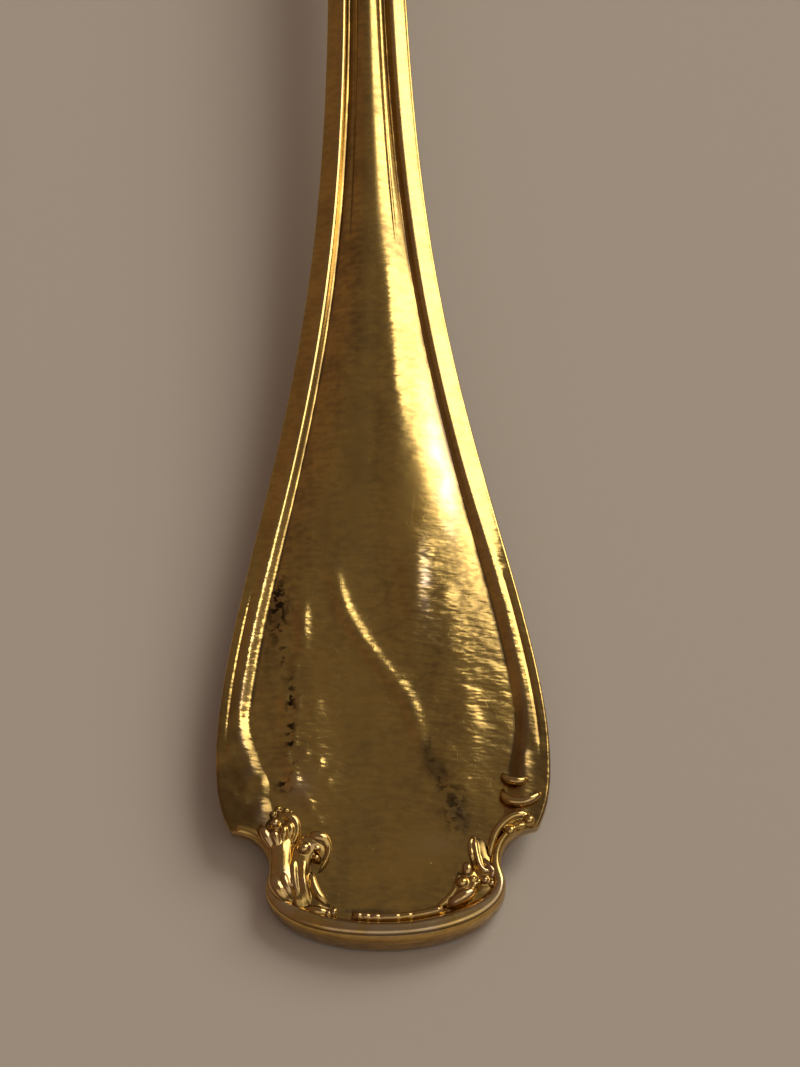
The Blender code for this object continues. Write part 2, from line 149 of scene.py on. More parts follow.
def smooth_step(value: Values) -> Values:
    """Ease from 0 to 1, flat at both ends."""
    value = np.clip(value, 0.0, 1.0)
    return value * value * (3.0 - 2.0 * value)


def climb(value: Values, start: float, length: float) -> Values:
    """Ease from 0 at start to 1 a length further on."""
    return smooth_step((value - start) / length)


def fade(value: Values, start: float, length: float) -> Values:
    """Ease from 1 at start to 0 a length further on."""
    return 1.0 - climb(value, start, length)


def mix(start: Values, end: Values, share: Values) -> Values:
    """Value a share of the way from start to end."""
    return start + (end - start) * share


def bump_at(value: Values, centre: float, width: float) -> Values:
    """A soft bump of height 1 at centre that dies away over width."""
    return np.exp(-(((value - centre) / width) ** 2))


def unit_rows(rows: Points) -> Points:
    """Rows brought to a length of 1."""
    return rows / np.linalg.norm(rows, axis=1)[:, None]


def spline(controls: Points, per_span: int) -> Points:
    """Smooth curve through control rows.

    Args:
        controls: One row for each control point, with any number of columns.
        per_span: Samples between two control points.

    Returns:
        Rows along a Catmull-Rom curve, first and last control points included.
    """
    first = 2.0 * controls[0] - controls[1]
    last = 2.0 * controls[-1] - controls[-2]
    rows = np.vstack([first, controls, last])
    out = []
    for index in range(len(controls) - 1):
        a, b, c, d = rows[index:index + 4]
        for step in range(per_span):
            t = step / per_span
            out.append(0.5 * (2.0 * b + (c - a) * t + (2.0 * a - 5.0 * b + 4.0 * c - d) * t ** 2
                              + (3.0 * b - a - 3.0 * c + d) * t ** 3))
    out.append(controls[-1])
    return np.array(out)


# Drawing of the spoon


@dataclass(frozen=True)
class Spine:
    """Side profile that carries the flat drawing onto the spoon."""

    tip_slope: float = 8.0
    neck_slope: float = -2.0
    bowl_slope: float = 1.0
    bend_length: float = 12.0
    reach: float = 110.0
    steps: int = 2200
    rest_pitch: float = 0.40173
    tip_seat: tuple[float, float, float] = (0.0, -53.8490, 1.0235)

    def slope(self, along: Values) -> Values:
        """Slope of the spine, with the spoon at rest.

        Args:
            along: Stations on the spine.

        Returns:
            Slopes in radians.
        """
        handle = mix(self.tip_slope, self.neck_slope, along / HANDLE_LENGTH)
        bend = climb(along, HANDLE_LENGTH, self.bend_length)
        beyond = mix(self.neck_slope, self.bowl_slope, bend)
        return np.radians(np.where(along <= HANDLE_LENGTH, handle, beyond) + self.rest_pitch)

    def carry(self, flat: Points) -> Points:
        """Carry points of the flat drawing into the frame.

        Args:
            flat: Rows of (across, along, up) in millimetres.

        Returns:
            Rows of (x, y, z) in metres.
        """
        step = self.reach / self.steps
        stations = np.arange(self.steps + 1) * step
        slopes = self.slope(stations[:-1] + step / 2.0)
        forward = np.concatenate([[0.0], np.cumsum(np.cos(slopes) * step)])
        rise = np.concatenate([[0.0], np.cumsum(np.sin(slopes) * step)])
        across, along, up = np.asarray(flat, float).T
        slope = self.slope(along)
        seat = self.tip_seat
        y = seat[1] + np.interp(along, stations, forward) - up * np.sin(slope)
        z = seat[2] + np.interp(along, stations, rise) + up * np.cos(slope)
        return np.column_stack([seat[0] + across, y, np.maximum(z, 0.0)]) * MILLIMETRE


@dataclass(frozen=True)
class Plan:
    """Outline of the handle and of the bowl, seen from above, and the bowl's hollow."""

    lobe_half_width: float = 4.83
    lobe_length: float = 2.45
    waist_half_width: float = 4.65
    waist_length: float = 0.90
    shoulder_half_width: float = 6.20
    cove_length: float = 1.60
    terminal_half_width: float = 6.81
    swell_length: float = 3.55
    swell_power: float = 3.0
    stem_half_width: float = 1.62
    flare_length: float = 18.0
    flare_power: float = 1.62
    neck_half_width: float = 2.05
    neck_length: float = 12.0
    thread_width_stem: float = 0.95
    thread_width_terminal: float = 1.27
    thread_width_power: float = 0.5
    thread_spread: float = 0.42
    thread_spread_length: float = 3.6
    tongue_length: float = 9.5
    tongue_tip_half_width: float = 0.60
    bowl_half_width: float = 10.75
    heel_length: float = 2.0
    heel_sweep_length: float = 5.0
    bowl_heel_length: float = 14.5
    bowl_front_length: float = 17.45
    bowl_depth: float = 4.8
    bowl_wall: float = 0.80
    corner_softness: float = 0.10
    sample_step: float = 0.02
    arc_points: int = 60
    waist_points: int = 12
    side_points: int = 400
    tongue_points: int = 60
    front_points: int = 120
    heel_points: int = 300

    @property
    def waist(self) -> float:
        """Station of the waist behind the lobe."""
        return self.lobe_length + self.waist_length

    @property
    def shoulder(self) -> float:
        """Station of the shoulders."""
        return self.waist + self.cove_length

    @property
    def widest(self) -> float:
        """Station of the handle's widest place."""
        return self.shoulder + self.swell_length

    @property
    def bowl_middle(self) -> float:
        """Station of the bowl's widest place."""
        return HANDLE_LENGTH + self.heel_length + self.bowl_heel_length

    def half_width(self, along: Values) -> Values:
        """Half of the handle's width behind the shoulders.

        Args:
            along: Stations on the spine.

        Returns:
            Half widths at the stations.
        """
        along = np.asarray(along, float)
        back = np.clip((self.widest - along) / self.swell_length, 0.0, 1.0)
        swell = mix(self.terminal_half_width, self.shoulder_half_width, back ** self.swell_power)
        beyond = np.maximum(along - self.widest, 0.0)
        flare = np.exp(-(beyond / self.flare_length) ** self.flare_power)
        stem = mix(self.stem_half_width, self.terminal_half_width, flare)
        neck = climb(along, HANDLE_LENGTH - self.neck_length, self.neck_length)
        return np.where(along <= self.widest, swell, mix(stem, self.neck_half_width, neck))

    def flare_share(self, along: Values) -> Values:
        """How much of the terminal's extra width a station has, from 0 on the stem to 1."""
        extra = self.terminal_half_width - self.stem_half_width
        return np.clip((self.half_width(along) - self.stem_half_width) / extra, 0.0, 1.0)

    def thread_width(self, along: Values) -> Values:
        """Width of the border that carries a thread.

        Args:
            along: Stations on the spine.

        Returns:
            Widths at the stations.
        """
        share = self.flare_share(np.maximum(along, self.widest)) ** self.thread_width_power
        spread = self.thread_spread * fade(along, SPREAD_START, self.thread_spread_length)
        return mix(self.thread_width_stem, self.thread_width_terminal, share) + spread

    def panel_half_width(self, along: Values) -> Values:
        """Half width of the panel between the borders, drawn on straight past the shoulders."""
        behind = np.maximum(along, SPREAD_START)
        return self.half_width(behind) - self.thread_width(behind)

    def tongue_half_width(self, along: Values) -> Values:
        """Half width of the tongue that laps under the bowl."""
        share = np.clip((along - HANDLE_LENGTH) / self.tongue_length, 0.0, 1.0)
        return mix(self.neck_half_width, self.tongue_tip_half_width, share ** 2)

    def bowl_reach(self, across: Values, along: Values) -> Values:
        """Square of how far out on the oval a place is, from 0 at its middle to 1 on its rim."""
        length = np.where(along >= self.bowl_middle, self.bowl_front_length, self.bowl_heel_length)
        return (across / self.bowl_half_width) ** 2 + ((along - self.bowl_middle) / length) ** 2

    def bowl_oval(self, along: Values) -> Values:
        """Half of the oval's width."""
        return self.bowl_half_width * np.sqrt(np.clip(1.0 - self.bowl_reach(0.0, along), 0.0, None))

    def bowl_hollow(self, across: Values, along: Values) -> Values:
        """Depth of the bowl's inside below its rim."""
        return self.bowl_depth * np.clip(1.0 - self.bowl_reach(across, along), 0.0, None)

    def bowl_back(self, across: Values, along: Values) -> Values:
        """Height of the bowl's outside."""
        return -self.bowl_hollow(across, along) - self.bowl_wall

    def bowl_width(self, along: Values) -> Values:
        """Half of the bowl's width, with a sweep from the neck out to the oval.

        Args:
            along: Stations on the spine.

        Returns:
            Half widths at the stations.
        """
        sweep_end = HANDLE_LENGTH + self.heel_sweep_length
        end = self.bowl_oval(sweep_end)
        back = (self.bowl_middle - sweep_end) / self.bowl_heel_length
        end_slope = self.bowl_half_width ** 2 * back / (self.bowl_heel_length * end)
        share = np.clip((along - HANDLE_LENGTH) / self.heel_sweep_length, 0.0, 1.0)
        straight = mix(self.neck_half_width, end, smooth_step(share))
        sweep = straight - end_slope * self.heel_sweep_length * share ** 2 * (1.0 - share)
        return np.where(along >= sweep_end, self.bowl_oval(along), sweep)

    def tip_edge(self) -> Points:
        """Outline of the tip.

        Returns:
            Raw points of the right edge, from the middle of the tip to the shoulder.
        """
        turn = np.radians(np.linspace(0.0, 90.0, self.arc_points))
        lobe = np.column_stack([self.lobe_half_width * np.sin(turn),
                                self.lobe_length * (1.0 - np.cos(turn))])
        share = np.linspace(0.0, 1.0, self.waist_points)[1:]
        narrowing = self.lobe_half_width - self.waist_half_width
        waist = np.column_stack([
            self.lobe_half_width - narrowing * (1.0 - np.cos(np.pi * share)) / 2.0,
            self.lobe_length + self.waist_length * share])
        reach = self.shoulder_half_width - self.waist_half_width
        cove = np.column_stack([self.shoulder_half_width - reach * np.cos(turn[1:]),
                                self.waist + self.cove_length * np.sin(turn[1:])])
        return np.vstack([lobe, waist, cove])

    def handle_edge(self) -> "Edge":
        """Outline of the handle and its tongue.

        Returns:
            Their right edge, from the middle of the tip to the tongue's end.
        """
        along = np.linspace(self.shoulder, HANDLE_LENGTH, self.side_points)[1:]
        sides = np.column_stack([self.half_width(along), along])
        lap = np.linspace(HANDLE_LENGTH, HANDLE_LENGTH + self.tongue_length, self.tongue_points)[1:]
        tongue = np.column_stack([self.tongue_half_width(lap), lap])
        end = np.array([[0.0, lap[-1] + self.tongue_tip_half_width / 2.0]])
        return Edge.through(np.vstack([self.tip_edge(), sides, tongue, end]), self)

    def bowl_edge(self) -> "Edge":
        """Outline of the bowl.

        Returns:
            Its right edge, from the middle of its front to the middle of its heel.
        """
        turn = np.radians(np.linspace(0.0, 90.0, self.front_points))
        front = np.column_stack([self.bowl_half_width * np.sin(turn),
                                 self.bowl_middle + self.bowl_front_length * np.cos(turn)])
        along = np.linspace(self.bowl_middle, HANDLE_LENGTH, self.heel_points)[1:]
        back = np.column_stack([self.bowl_width(along), along])
        heel = np.array([[0.0, HANDLE_LENGTH]])
        return Edge.through(np.vstack([front, back, heel]), self)


@dataclass(frozen=True)
class Edge:
    """A line in the plan with its inward directions, sampled finely and evenly."""

    points: Points
    inward: Points
    travel: Values

    @classmethod
    def through(cls, raw: Points, plan: Plan) -> "Edge":
        """Even, softened samples along raw points that start and end on the axis.

        Args:
            raw: Corner points of the line, on the right of the axis.
            plan: Plan that gives the sampling and the softness of corners.

        Returns:
            The edge, with directions that point into the plate.
        """
        mirrored = raw[:0:-1] * (-1.0, 1.0)
        tail = raw[-2::-1] * (-1.0, 1.0)
        line = np.vstack([mirrored, raw, tail])
        reach = np.concatenate([[0.0], np.cumsum(np.hypot(*np.diff(line, axis=0).T))])
        even = np.linspace(0.0, reach[-1], int(reach[-1] / plan.sample_step))
        dense = np.column_stack([np.interp(even, reach, column) for column in line.T])
        dense = cls.soften(dense, plan.corner_softness / plan.sample_step)
        start = reach[len(mirrored)]
        end = reach[len(mirrored) + len(raw) - 1]
        tangent = unit_rows(np.gradient(dense, axis=0))
        keep = (even >= start) & (even <= end)
        points = dense[keep]
        inward = np.column_stack([-tangent[:, 1], tangent[:, 0]])[keep]
        middle = len(points) // 2
        if inward[middle][0] * points[middle][0] > 0.0:
            inward = -inward
        return cls(points, inward, even[keep] - start)

    @staticmethod
    def soften(rows: Points, sigma: float) -> Points:
        """Blur rows along their order.

        Args:
            rows: Rows to blur.
            sigma: Width of the Gaussian, in samples.

        Returns:
            As many blurred rows.
        """
        half = int(BLUR_REACH * sigma) + 1
        kernel = np.exp(-0.5 * (np.arange(-half, half + 1) / sigma) ** 2)
        kernel /= kernel.sum()
        padded = np.pad(rows, ((half, half), (0, 0)), mode="edge")
        return np.column_stack([np.convolve(column, kernel, mode="valid") for column in padded.T])

    def at(self, travel: Values) -> tuple[Points, Points]:
        """Points and inward directions on both sides of the spoon.

        Args:
            travel: Distances along the edge, below 0 for the left side.

        Returns:
            The points and the directions.
        """
        side = np.column_stack([np.where(travel < 0.0, -1.0, 1.0), np.ones(len(travel))])
        reach = np.abs(travel)
        points = np.column_stack([np.interp(reach, self.travel, column) for column in self.points.T])
        inward = np.column_stack([np.interp(reach, self.travel, column) for column in self.inward.T])
        return points * side, unit_rows(inward) * side

    def travel_at_station(self, along: float) -> float:
        """Distance travelled where the edge first reaches a station."""
        return float(self.travel[np.argmax(self.points[:, 1] >= along)])


@dataclass(frozen=True)
class Blot:
    """A soft oval mark on the spoon."""

    across: float
    along: float
    half_width: float
    half_length: float
    strength: float

    def at(self, across: Values, along: Values) -> Values:
        """The mark's strength at places on the spoon."""
        sideways = (across - self.across) / self.half_width
        return self.strength * np.exp(-(sideways ** 2 + ((along - self.along) / self.half_length) ** 2))


def blots(*rows: tuple[float, float, float, float, float]) -> tuple[Blot, ...]:
    """Marks from rows of (across, along, half width, half length, strength)."""
    return tuple(Blot(*row) for row in rows)


def total(group: tuple[Blot, ...], across: Values, along: Values) -> Values:
    """Strengths of a group of marks added up at places on the spoon."""
    nothing = np.zeros(np.broadcast(across, along).shape)
    return sum((blot.at(across, along) for blot in group), nothing)


# Meshes


def with_foot(top: Points, inset: Points) -> Points:
    """Rings of a moulding: its top, and two points sunk into the blank under its edges.

    Args:
        top: Points of shape (rings, columns, 3), from the outer edge inwards.
        inset: Step in the plan from the outer edge to its foot, for each ring or for all.

    Returns:
        Rings with two more columns, the inner foot and the outer one.
    """
    foot = top[:, [-1, 0]].copy()
    foot[..., 2] = -SINK
    foot[:, 1, :2] += inset
    return np.concatenate([top, foot], axis=1)


def with_ends(values: Values, ends: tuple[float, float]) -> Values:
    """Marks of a moulding's top, followed by those of its two feet."""
    return np.concatenate([values, np.broadcast_to(ends, values.shape[:-1] + (2,))], axis=-1)


@dataclass(frozen=True)
class Shell:
    """Vertices of a piece in the flat drawing, its faces, and marks that its finish follows."""

    flat: Points
    faces: list[Loop]
    marks: Marks

    @classmethod
    def loft(cls, rings: Points, marks: Marks) -> "Shell":
        """Closed loft through rings, with a cap at each end.

        Args:
            rings: Array of shape (rings, points, 3) in the flat drawing.
            marks: For each mark, values that fit the shape (rings, points).

        Returns:
            The shell of the loft.
        """
        shape = rings.shape[:2]
        count, size = shape
        faces: list[Loop] = []
        for ring in range(count - 1):
            near = ring * size
            far = near + size
            for index in range(size):
                following = (index + 1) % size
                faces.append((near + index, near + following, far + following, far + index))
        faces.append(tuple(range(size)))
        faces.append(tuple(range((count - 1) * size, count * size)))
        flat_marks = {mark: np.broadcast_to(values, shape).ravel() for mark, values in marks.items()}
        return cls(rings.reshape(-1, 3), faces, flat_marks)

    def mark(self, mark: Mark) -> Values:
        """Values of a mark, or zeros where the piece has none."""
        return self.marks.get(mark, np.zeros(len(self.flat)))

    def joined(self, other: "Shell") -> "Shell":
        """This shell and another as one piece.

        Args:
            other: The other shell.

        Returns:
            A shell with the faces and marks of both.
        """
        start = len(self.flat)
        moved = [tuple(start + index for index in loop) for loop in other.faces]
        marks = {mark: np.concatenate([self.mark(mark), other.mark(mark)]) for mark in Mark}
        return Shell(np.vstack([self.flat, other.flat]), self.faces + moved, marks)

    def mirrored(self) -> "Shell":
        """The same shell on the other side of the spoon."""
        return Shell(self.flat * (-1.0, 1.0, 1.0), self.faces, self.marks)

    def mesh(self, name: str, spine: Spine) -> bpy.types.Mesh:
        """Mesh of the shell in the frame, welded, closed and smooth.

        Args:
            name: Name of the mesh.
            spine: Spine that carries the drawing.

        Returns:
            The mesh, with its marks as attributes.
        """
        mesh = bpy.data.meshes.new(name)
        mesh.from_pydata(spine.carry(self.flat).tolist(), [], self.faces)
        for mark in Mark:
            layer = mesh.attributes.new(mark.value, "FLOAT", "POINT")
            layer.data.foreach_set("value", self.mark(mark).astype(np.float32))
        builder = bmesh.new()
        builder.from_mesh(mesh)
        bmesh.ops.remove_doubles(builder, verts=builder.verts, dist=WELD_DISTANCE)
        bmesh.ops.dissolve_degenerate(builder, edges=builder.edges, dist=LEAST_EDGE)
        bmesh.ops.recalc_face_normals(builder, faces=builder.faces)
        builder.to_mesh(mesh)
        builder.free()
        mesh.shade_smooth()
        mesh.set_sharp_from_angle(angle=SHARP_ANGLE)
        return mesh


@dataclass(frozen=True)
class Strand:
    """A tapered, round-backed strand of ornament.

    Each control is (across, along, up, half width), in millimetres.
    """

    controls: tuple[tuple[float, float, float, float], ...]
    flatness: float = 0.85
    per_span: int = 8
    sides: int = 18
    least_radius: float = 0.01

    @classmethod
    def ball(cls, across: float, along: float, up: float, radius: float, per_span: int = 3) -> "Strand":
        """A strand so short that it makes a round knob.

        Args:
            across: Place of its middle across the spoon.
            along: Station of its middle.
            up: Height of its middle.
            radius: Radius of the knob.
            per_span: Samples between two of its controls.

        Returns:
            The strand.
        """
        reach = (-1.0, -0.75, 0.0, 0.75, 1.0)
        girth = (0.05, 0.66, 1.0, 0.66, 0.05)
        return cls(tuple((across, along + radius * step, up, radius * part)
                         for step, part in zip(reach, girth)), per_span=per_span)

    def tube(self) -> Shell:
        """The strand on its own.

        Returns:
            A closed tube without marks.
        """
        rows = spline(np.array(self.controls, float), self.per_span)
        path = rows[:, :2]
        ahead = unit_rows(np.gradient(path, axis=0))
        sideways = np.column_stack([-ahead[:, 1], ahead[:, 0]])
        turn = np.linspace(0.0, 2.0 * np.pi, self.sides, endpoint=False)
        radius = np.maximum(rows[:, 3], self.least_radius)
        plan = path[:, None] + sideways[:, None] * (radius[:, None] * np.cos(turn))[..., None]
        up = rows[:, 2, None] + radius[:, None] * self.flatness * np.sin(turn)
        return Shell.loft(np.concatenate([plan, up[..., None]], axis=2), {})


@dataclass(frozen=True)
class Melt:
    """How strands are melted into one closed, softly blended shell."""

    voxel: float = 0.03
    smoothing: int = 4
    smoothing_share: float = 0.5
    crest_start: float = 0.35
    crest_length: float = 0.45
    foot_start: float = 0.05
    foot_length: float = 0.55
    rubbed: float = 0.6

    def shell(self, strands: tuple[Strand, ...]) -> Shell:
        """Melt strands together.

        Args:
            strands: Strands that overlap each other.

        Returns:
            The melted shell, with its height as crest, and its foot darkened with tarnish and painted
            contact shade.
        """
        tubes = strands[0].tube()
        for strand in strands[1:]:
            tubes = tubes.joined(strand.tube())
        mesh = bpy.data.meshes.new("melt")
        mesh.from_pydata(tubes.flat.tolist(), [], tubes.faces)
        melt = bpy.data.objects.new("melt", mesh)
        bpy.context.scene.collection.objects.link(melt)
        remesh = melt.modifiers.new("melt", "REMESH")
        remesh.mode = "VOXEL"
        remesh.voxel_size = self.voxel
        soften = melt.modifiers.new("soften", "SMOOTH")
        soften.factor = self.smoothing_share
        soften.iterations = self.smoothing
        graph = bpy.context.evaluated_depsgraph_get()
        melted = bpy.data.meshes.new_from_object(melt.evaluated_get(graph))
        flat = np.zeros(len(melted.vertices) * 3)
        melted.vertices.foreach_get("co", flat)
        flat = flat.reshape(-1, 3)
        loops = [tuple(polygon.vertices) for polygon in melted.polygons]
        bpy.data.objects.remove(melt)
        bpy.data.meshes.remove(mesh)
        bpy.data.meshes.remove(melted)
        level = flat[:, 2] / flat[:, 2].max()
        crest = climb(level, self.crest_start, self.crest_length) * self.rubbed
        # At the foot: tarnish, and painted contact shade round the ornament
        return Shell(flat, loops, {Mark.CREST: crest,
                                   Mark.RECESS: fade(level, self.foot_start, self.foot_length)})


# Surface effects


@dataclass(frozen=True)
class Noise:
    """A layer of noise; its band is the stretch of values that it is cut to, where it has one."""

    scale: float = 1.0
    stretch: tuple[float, float, float] = (1.0, 1.0, 1.0)
    turn: float = 0.0
    detail: float = 1.0
    roughness: float = 0.5
    band: tuple[float, float] | None = None
    share: float = 1.0


RIPPLES = (
    Noise(stretch=(0.55, 1.0, 1.0), share=1.1),
    Noise(scale=0.28, stretch=(1.0, 0.8, 1.0), share=3.0),
    Noise(scale=2.7, stretch=(0.40, 1.0, 1.0), share=0.85),
)
HAIRLINES = tuple(Noise(turn=turn, stretch=(1.0, stretch, 1.0), detail=3.0, band=(0.67, 0.76))
                  for turn, stretch in ((14.0, 26.0), (97.0, 18.0), (63.0, 34.0)))
STAINS = (
    Noise(detail=6.0, roughness=0.62, band=(0.38, 0.66), share=0.40),
    Noise(scale=3.0, stretch=(1.0, 0.10, 1.0), detail=4.0, band=(0.45, 0.65), share=0.25),
    Noise(scale=9.0, stretch=(0.5, 1.0, 1.0), detail=3.0, band=(0.36, 0.64), share=0.45),
)
# Noise that breaks up the painted shade and tarnish
SHADE_TARNISH_NOISE = Noise(detail=6.0, roughness=0.62, band=(0.25, 0.6))
RUBBED = Noise(detail=4.0, band=(0.3, 0.62))
SPECKS = Noise(detail=3.0, band=(0.49, 0.57))


class NodeWriter:
    """Adds and joins the nodes of one tree."""

    def __init__(self, tree: Tree) -> None:
        """Write into a tree."""
        self.tree = tree

    def node(self, kind: str) -> bpy.types.Node:
        """New node of a kind."""
        return self.tree.nodes.new(kind)

    def feed(self, value: Socket | Colour | float, entry: Socket) -> None:
        """Link an output to an input, or set the input.

        Args:
            value: The output, or a colour or a number.
            entry: The input.
        """
        if isinstance(value, Socket):
            self.tree.links.new(value, entry)
        elif isinstance(value, tuple):
            entry.default_value = (*value, 1.0)
        else:
            entry.default_value = value

    def maths(self, operation: str, first: Socket, *others: Socket | float) -> Socket:
        """Take an operation through several values in turn.

        Args:
            operation: Name of the operation.
            first: Output to start from.
            others: Outputs or numbers that follow.

        Returns:
            The last result.
        """
        for other in others:
            node = self.node("ShaderNodeMath")
            node.operation = operation
            self.feed(first, node.inputs[0])
            self.feed(other, node.inputs[1])
            first = node.outputs["Value"]
        return first

    def ramp(self, value: Socket, low: float, high: float, least: float = 0.0, most: float = 1.0,
             kind: Ramp = Ramp.SOFT) -> Socket:
        """Take a value from one level to another.

        Args:
            value: Output to follow.
            low: Value where the ramp starts.
            high: Value where it ends.
            least: Level at its start.
            most: Level at its end.
            kind: Way that it goes.

        Returns:
            The level.
        """
        node = self.node("ShaderNodeMapRange")
        node.interpolation_type = kind.value
        ends = {"Value": value, "From Min": low, "From Max": high, "To Min": least, "To Max": most}
        for name, end in ends.items():
            self.feed(end, node.inputs[name])
        return node.outputs["Result"]

    def blend(self, mask: Socket, first: Socket | Colour, second: Socket | Colour) -> Socket:
        """Colour that goes from first to second as a mask goes from 0 to 1.

        Args:
            mask: The mask.
            first: Output or colour at 0.
            second: Output or colour at 1.

        Returns:
            The mixed colour.
        """
        node = self.node("ShaderNodeMix")
        node.data_type = "RGBA"
        self.feed(mask, node.inputs[0])
        self.feed(first, node.inputs[MIX_FIRST])
        self.feed(second, node.inputs[MIX_SECOND])
        return node.outputs[MIX_RESULT]

    def attribute(self, mark: Mark) -> Socket:
        """Value of a mark of the mesh.

        Args:
            mark: The mark.

        Returns:
            Its value.
        """
        node = self.node("ShaderNodeAttribute")
        node.attribute_name = mark.value
        return node.outputs["Fac"]

    def layer(self, noise: Noise, place: Socket, scale: Socket) -> Socket:
        """Draw a layer of noise.

        Args:
            noise: The layer.
            place: Coordinates that it is drawn in.
            scale: Scale of the whole effect.

        Returns:
            The layer's value, cut to its band and times its share.
        """
        turn = (0.0, 0.0, math.radians(noise.turn))
        for entry, amount in (("Rotation", turn), ("Scale", noise.stretch)):
            mapping = self.node("ShaderNodeMapping")
            mapping.inputs[entry].default_value = amount
            self.feed(place, mapping.inputs["Vector"])
            place = mapping.outputs["Vector"]
        node = self.node("ShaderNodeTexNoise")
        self.feed(noise.detail, node.inputs["Detail"])
        self.feed(noise.roughness, node.inputs["Roughness"])
        self.feed(place, node.inputs["Vector"])
        self.feed(self.maths("MULTIPLY", scale, noise.scale), node.inputs["Scale"])
        value = node.outputs["Fac"]
        if noise.band:
            value = self.ramp(value, *noise.band)
        return self.maths("MULTIPLY", value, noise.share)

    def bump(self, height: Socket, distance: float, normal: Socket | None = None) -> Socket:
        """Surface that follows a height.

        Args:
            height: The height, from 0 to 1.
            distance: What a height of 1 stands for, in metres; below 0 it goes into the surface.
            normal: Surface to start from, where it isn't the plain one.

        Returns:
            The new normal.
        """
        node = self.node("ShaderNodeBump")
        node.invert = distance < 0.0
        self.feed(abs(distance), node.inputs["Distance"])
        self.feed(height, node.inputs["Height"])
        if normal is not None:
            self.feed(normal, node.inputs["Normal"])
        return node.outputs["Normal"]

    def group(self, tree: Tree, **values: Socket | float) -> Socket:
        """Place a node group.

        Args:
            tree: The group.
            values: Outputs or numbers for its inputs.

        Returns:
            The group's output.
        """
        node = self.node("ShaderNodeGroup")
        node.node_tree = tree
        for name, value in values.items():
            self.feed(value, node.inputs[name])
        return node.outputs[0]

    def finish(self, output: Socket) -> Tree:
        """Send an output out of the group and return the group."""
        self.feed(output, self.node("NodeGroupOutput").inputs[0])
        return self.tree


class EffectGroups:
    """Builds each shared surface effect once, as a shader node group."""

    def __init__(self) -> None:
        """Start with no groups."""
        self.groups: dict[Effect, Tree] = {}

    def get(self, effect: Effect) -> Tree:
        """Node group of an effect, built at its first use.

        Args:
            effect: The effect.

        Returns:
            Its group.
        """
        makers = {
            Effect.RIPPLE: self.ripple,
            Effect.SCRATCHES: self.scratches,
            Effect.BLOOM: self.bloom,
            Effect.WEAR: self.wear,
            Effect.PITS: self.pits,
        }
        if effect not in self.groups:
            self.groups[effect] = makers[effect]()
        return self.groups[effect]

    @staticmethod
    def start(effect: Effect, output: str, *inputs: str) -> tuple[NodeWriter, bpy.types.NodeOutputs]:
        """New group with a vector input, number inputs and one number output.

        Args:
            effect: Effect that the group makes.
            output: Name of its output.
            inputs: Names of its number inputs.

        Returns:
            A writer for the group's nodes, and the values that the group is given.
        """
        tree = bpy.data.node_groups.new(effect.value, "ShaderNodeTree")
        tree.interface.new_socket("Vector", in_out="INPUT", socket_type="NodeSocketVector")
        for name in inputs:
            tree.interface.new_socket(name, in_out="INPUT", socket_type="NodeSocketFloat")
        tree.interface.new_socket(output, in_out="OUTPUT", socket_type="NodeSocketFloat")
        write = NodeWriter(tree)
        return write, write.node("NodeGroupInput").outputs

    def ripple(self) -> Tree:
        """Shallow waves of a beaten and buffed plate, shorter along the spoon than across it.

        Returns:
            A group that puts out a height.
        """
        write, given = self.start(Effect.RIPPLE, "Height", "Scale", "Strength", "Least")
        waves = [write.layer(noise, given["Vector"], given["Scale"]) for noise in RIPPLES]
        strength = write.maths("MAXIMUM", given["Strength"], given["Least"])
        return write.finish(write.maths("MULTIPLY", write.maths("ADD", *waves), strength))

    def scratches(self) -> Tree:
        """Fine hairlines of use in three directions.

        Returns:
            A group that puts out a mask.
        """
        write, given = self.start(Effect.SCRATCHES, "Mask", "Scale", "Amount")
        lines = [write.layer(noise, given["Vector"], given["Scale"]) for noise in HAIRLINES]
        return write.finish(write.maths("MULTIPLY", write.maths("MAXIMUM", *lines), given["Amount"]))

    def bloom(self) -> Tree:
        """Brown tarnish that clouds the open plate, but not cleaned places, and painted shade with tarnish
        where the marks ask for them.

        Returns:
            A group that puts out a mask.
        """
        write, given = self.start(Effect.BLOOM, "Mask", "Scale", "Recess", "Amount")
        stains = [write.layer(noise, given["Vector"], given["Scale"]) for noise in STAINS]
        uncleaned = write.maths("ADD", write.maths("MINIMUM", given["Recess"], 0.0), 1.0)
        amount = write.maths("MULTIPLY", given["Amount"], uncleaned)
        clouded = write.maths("MULTIPLY", write.maths("ADD", *stains), amount)
        broken = write.layer(SHADE_TARNISH_NOISE, given["Vector"], given["Scale"])
        # Painted shade with tarnish where the mark asks for it, broken up by noise
        gathered_shade_and_tarnish = write.maths("MULTIPLY", given["Recess"], broken)
        return write.finish(write.maths("MAXIMUM", clouded, gathered_shade_and_tarnish))

    def wear(self) -> Tree:
        """Gilding rubbed off the crests, and paler spots that whiten part of the handle's highlight as
        painted highlight.

        Returns:
            A group that puts out a mask.
        """
        write, given = self.start(Effect.WEAR, "Mask", "Scale", "Crest", "Amount")
        patches = write.layer(RUBBED, given["Vector"], given["Scale"])
        return write.finish(write.maths("MULTIPLY", given["Crest"], patches, given["Amount"]))

    def pits(self) -> Tree:
        """Small dark pits where the gilding has lifted.

        Returns:
            A group that puts out a mask.
        """
        write, given = self.start(Effect.PITS, "Mask", "Scale", "Field", "Amount")
        specks = write.layer(SPECKS, given["Vector"], given["Scale"])
        return write.finish(write.maths("MULTIPLY", specks, given["Field"], given["Amount"]))


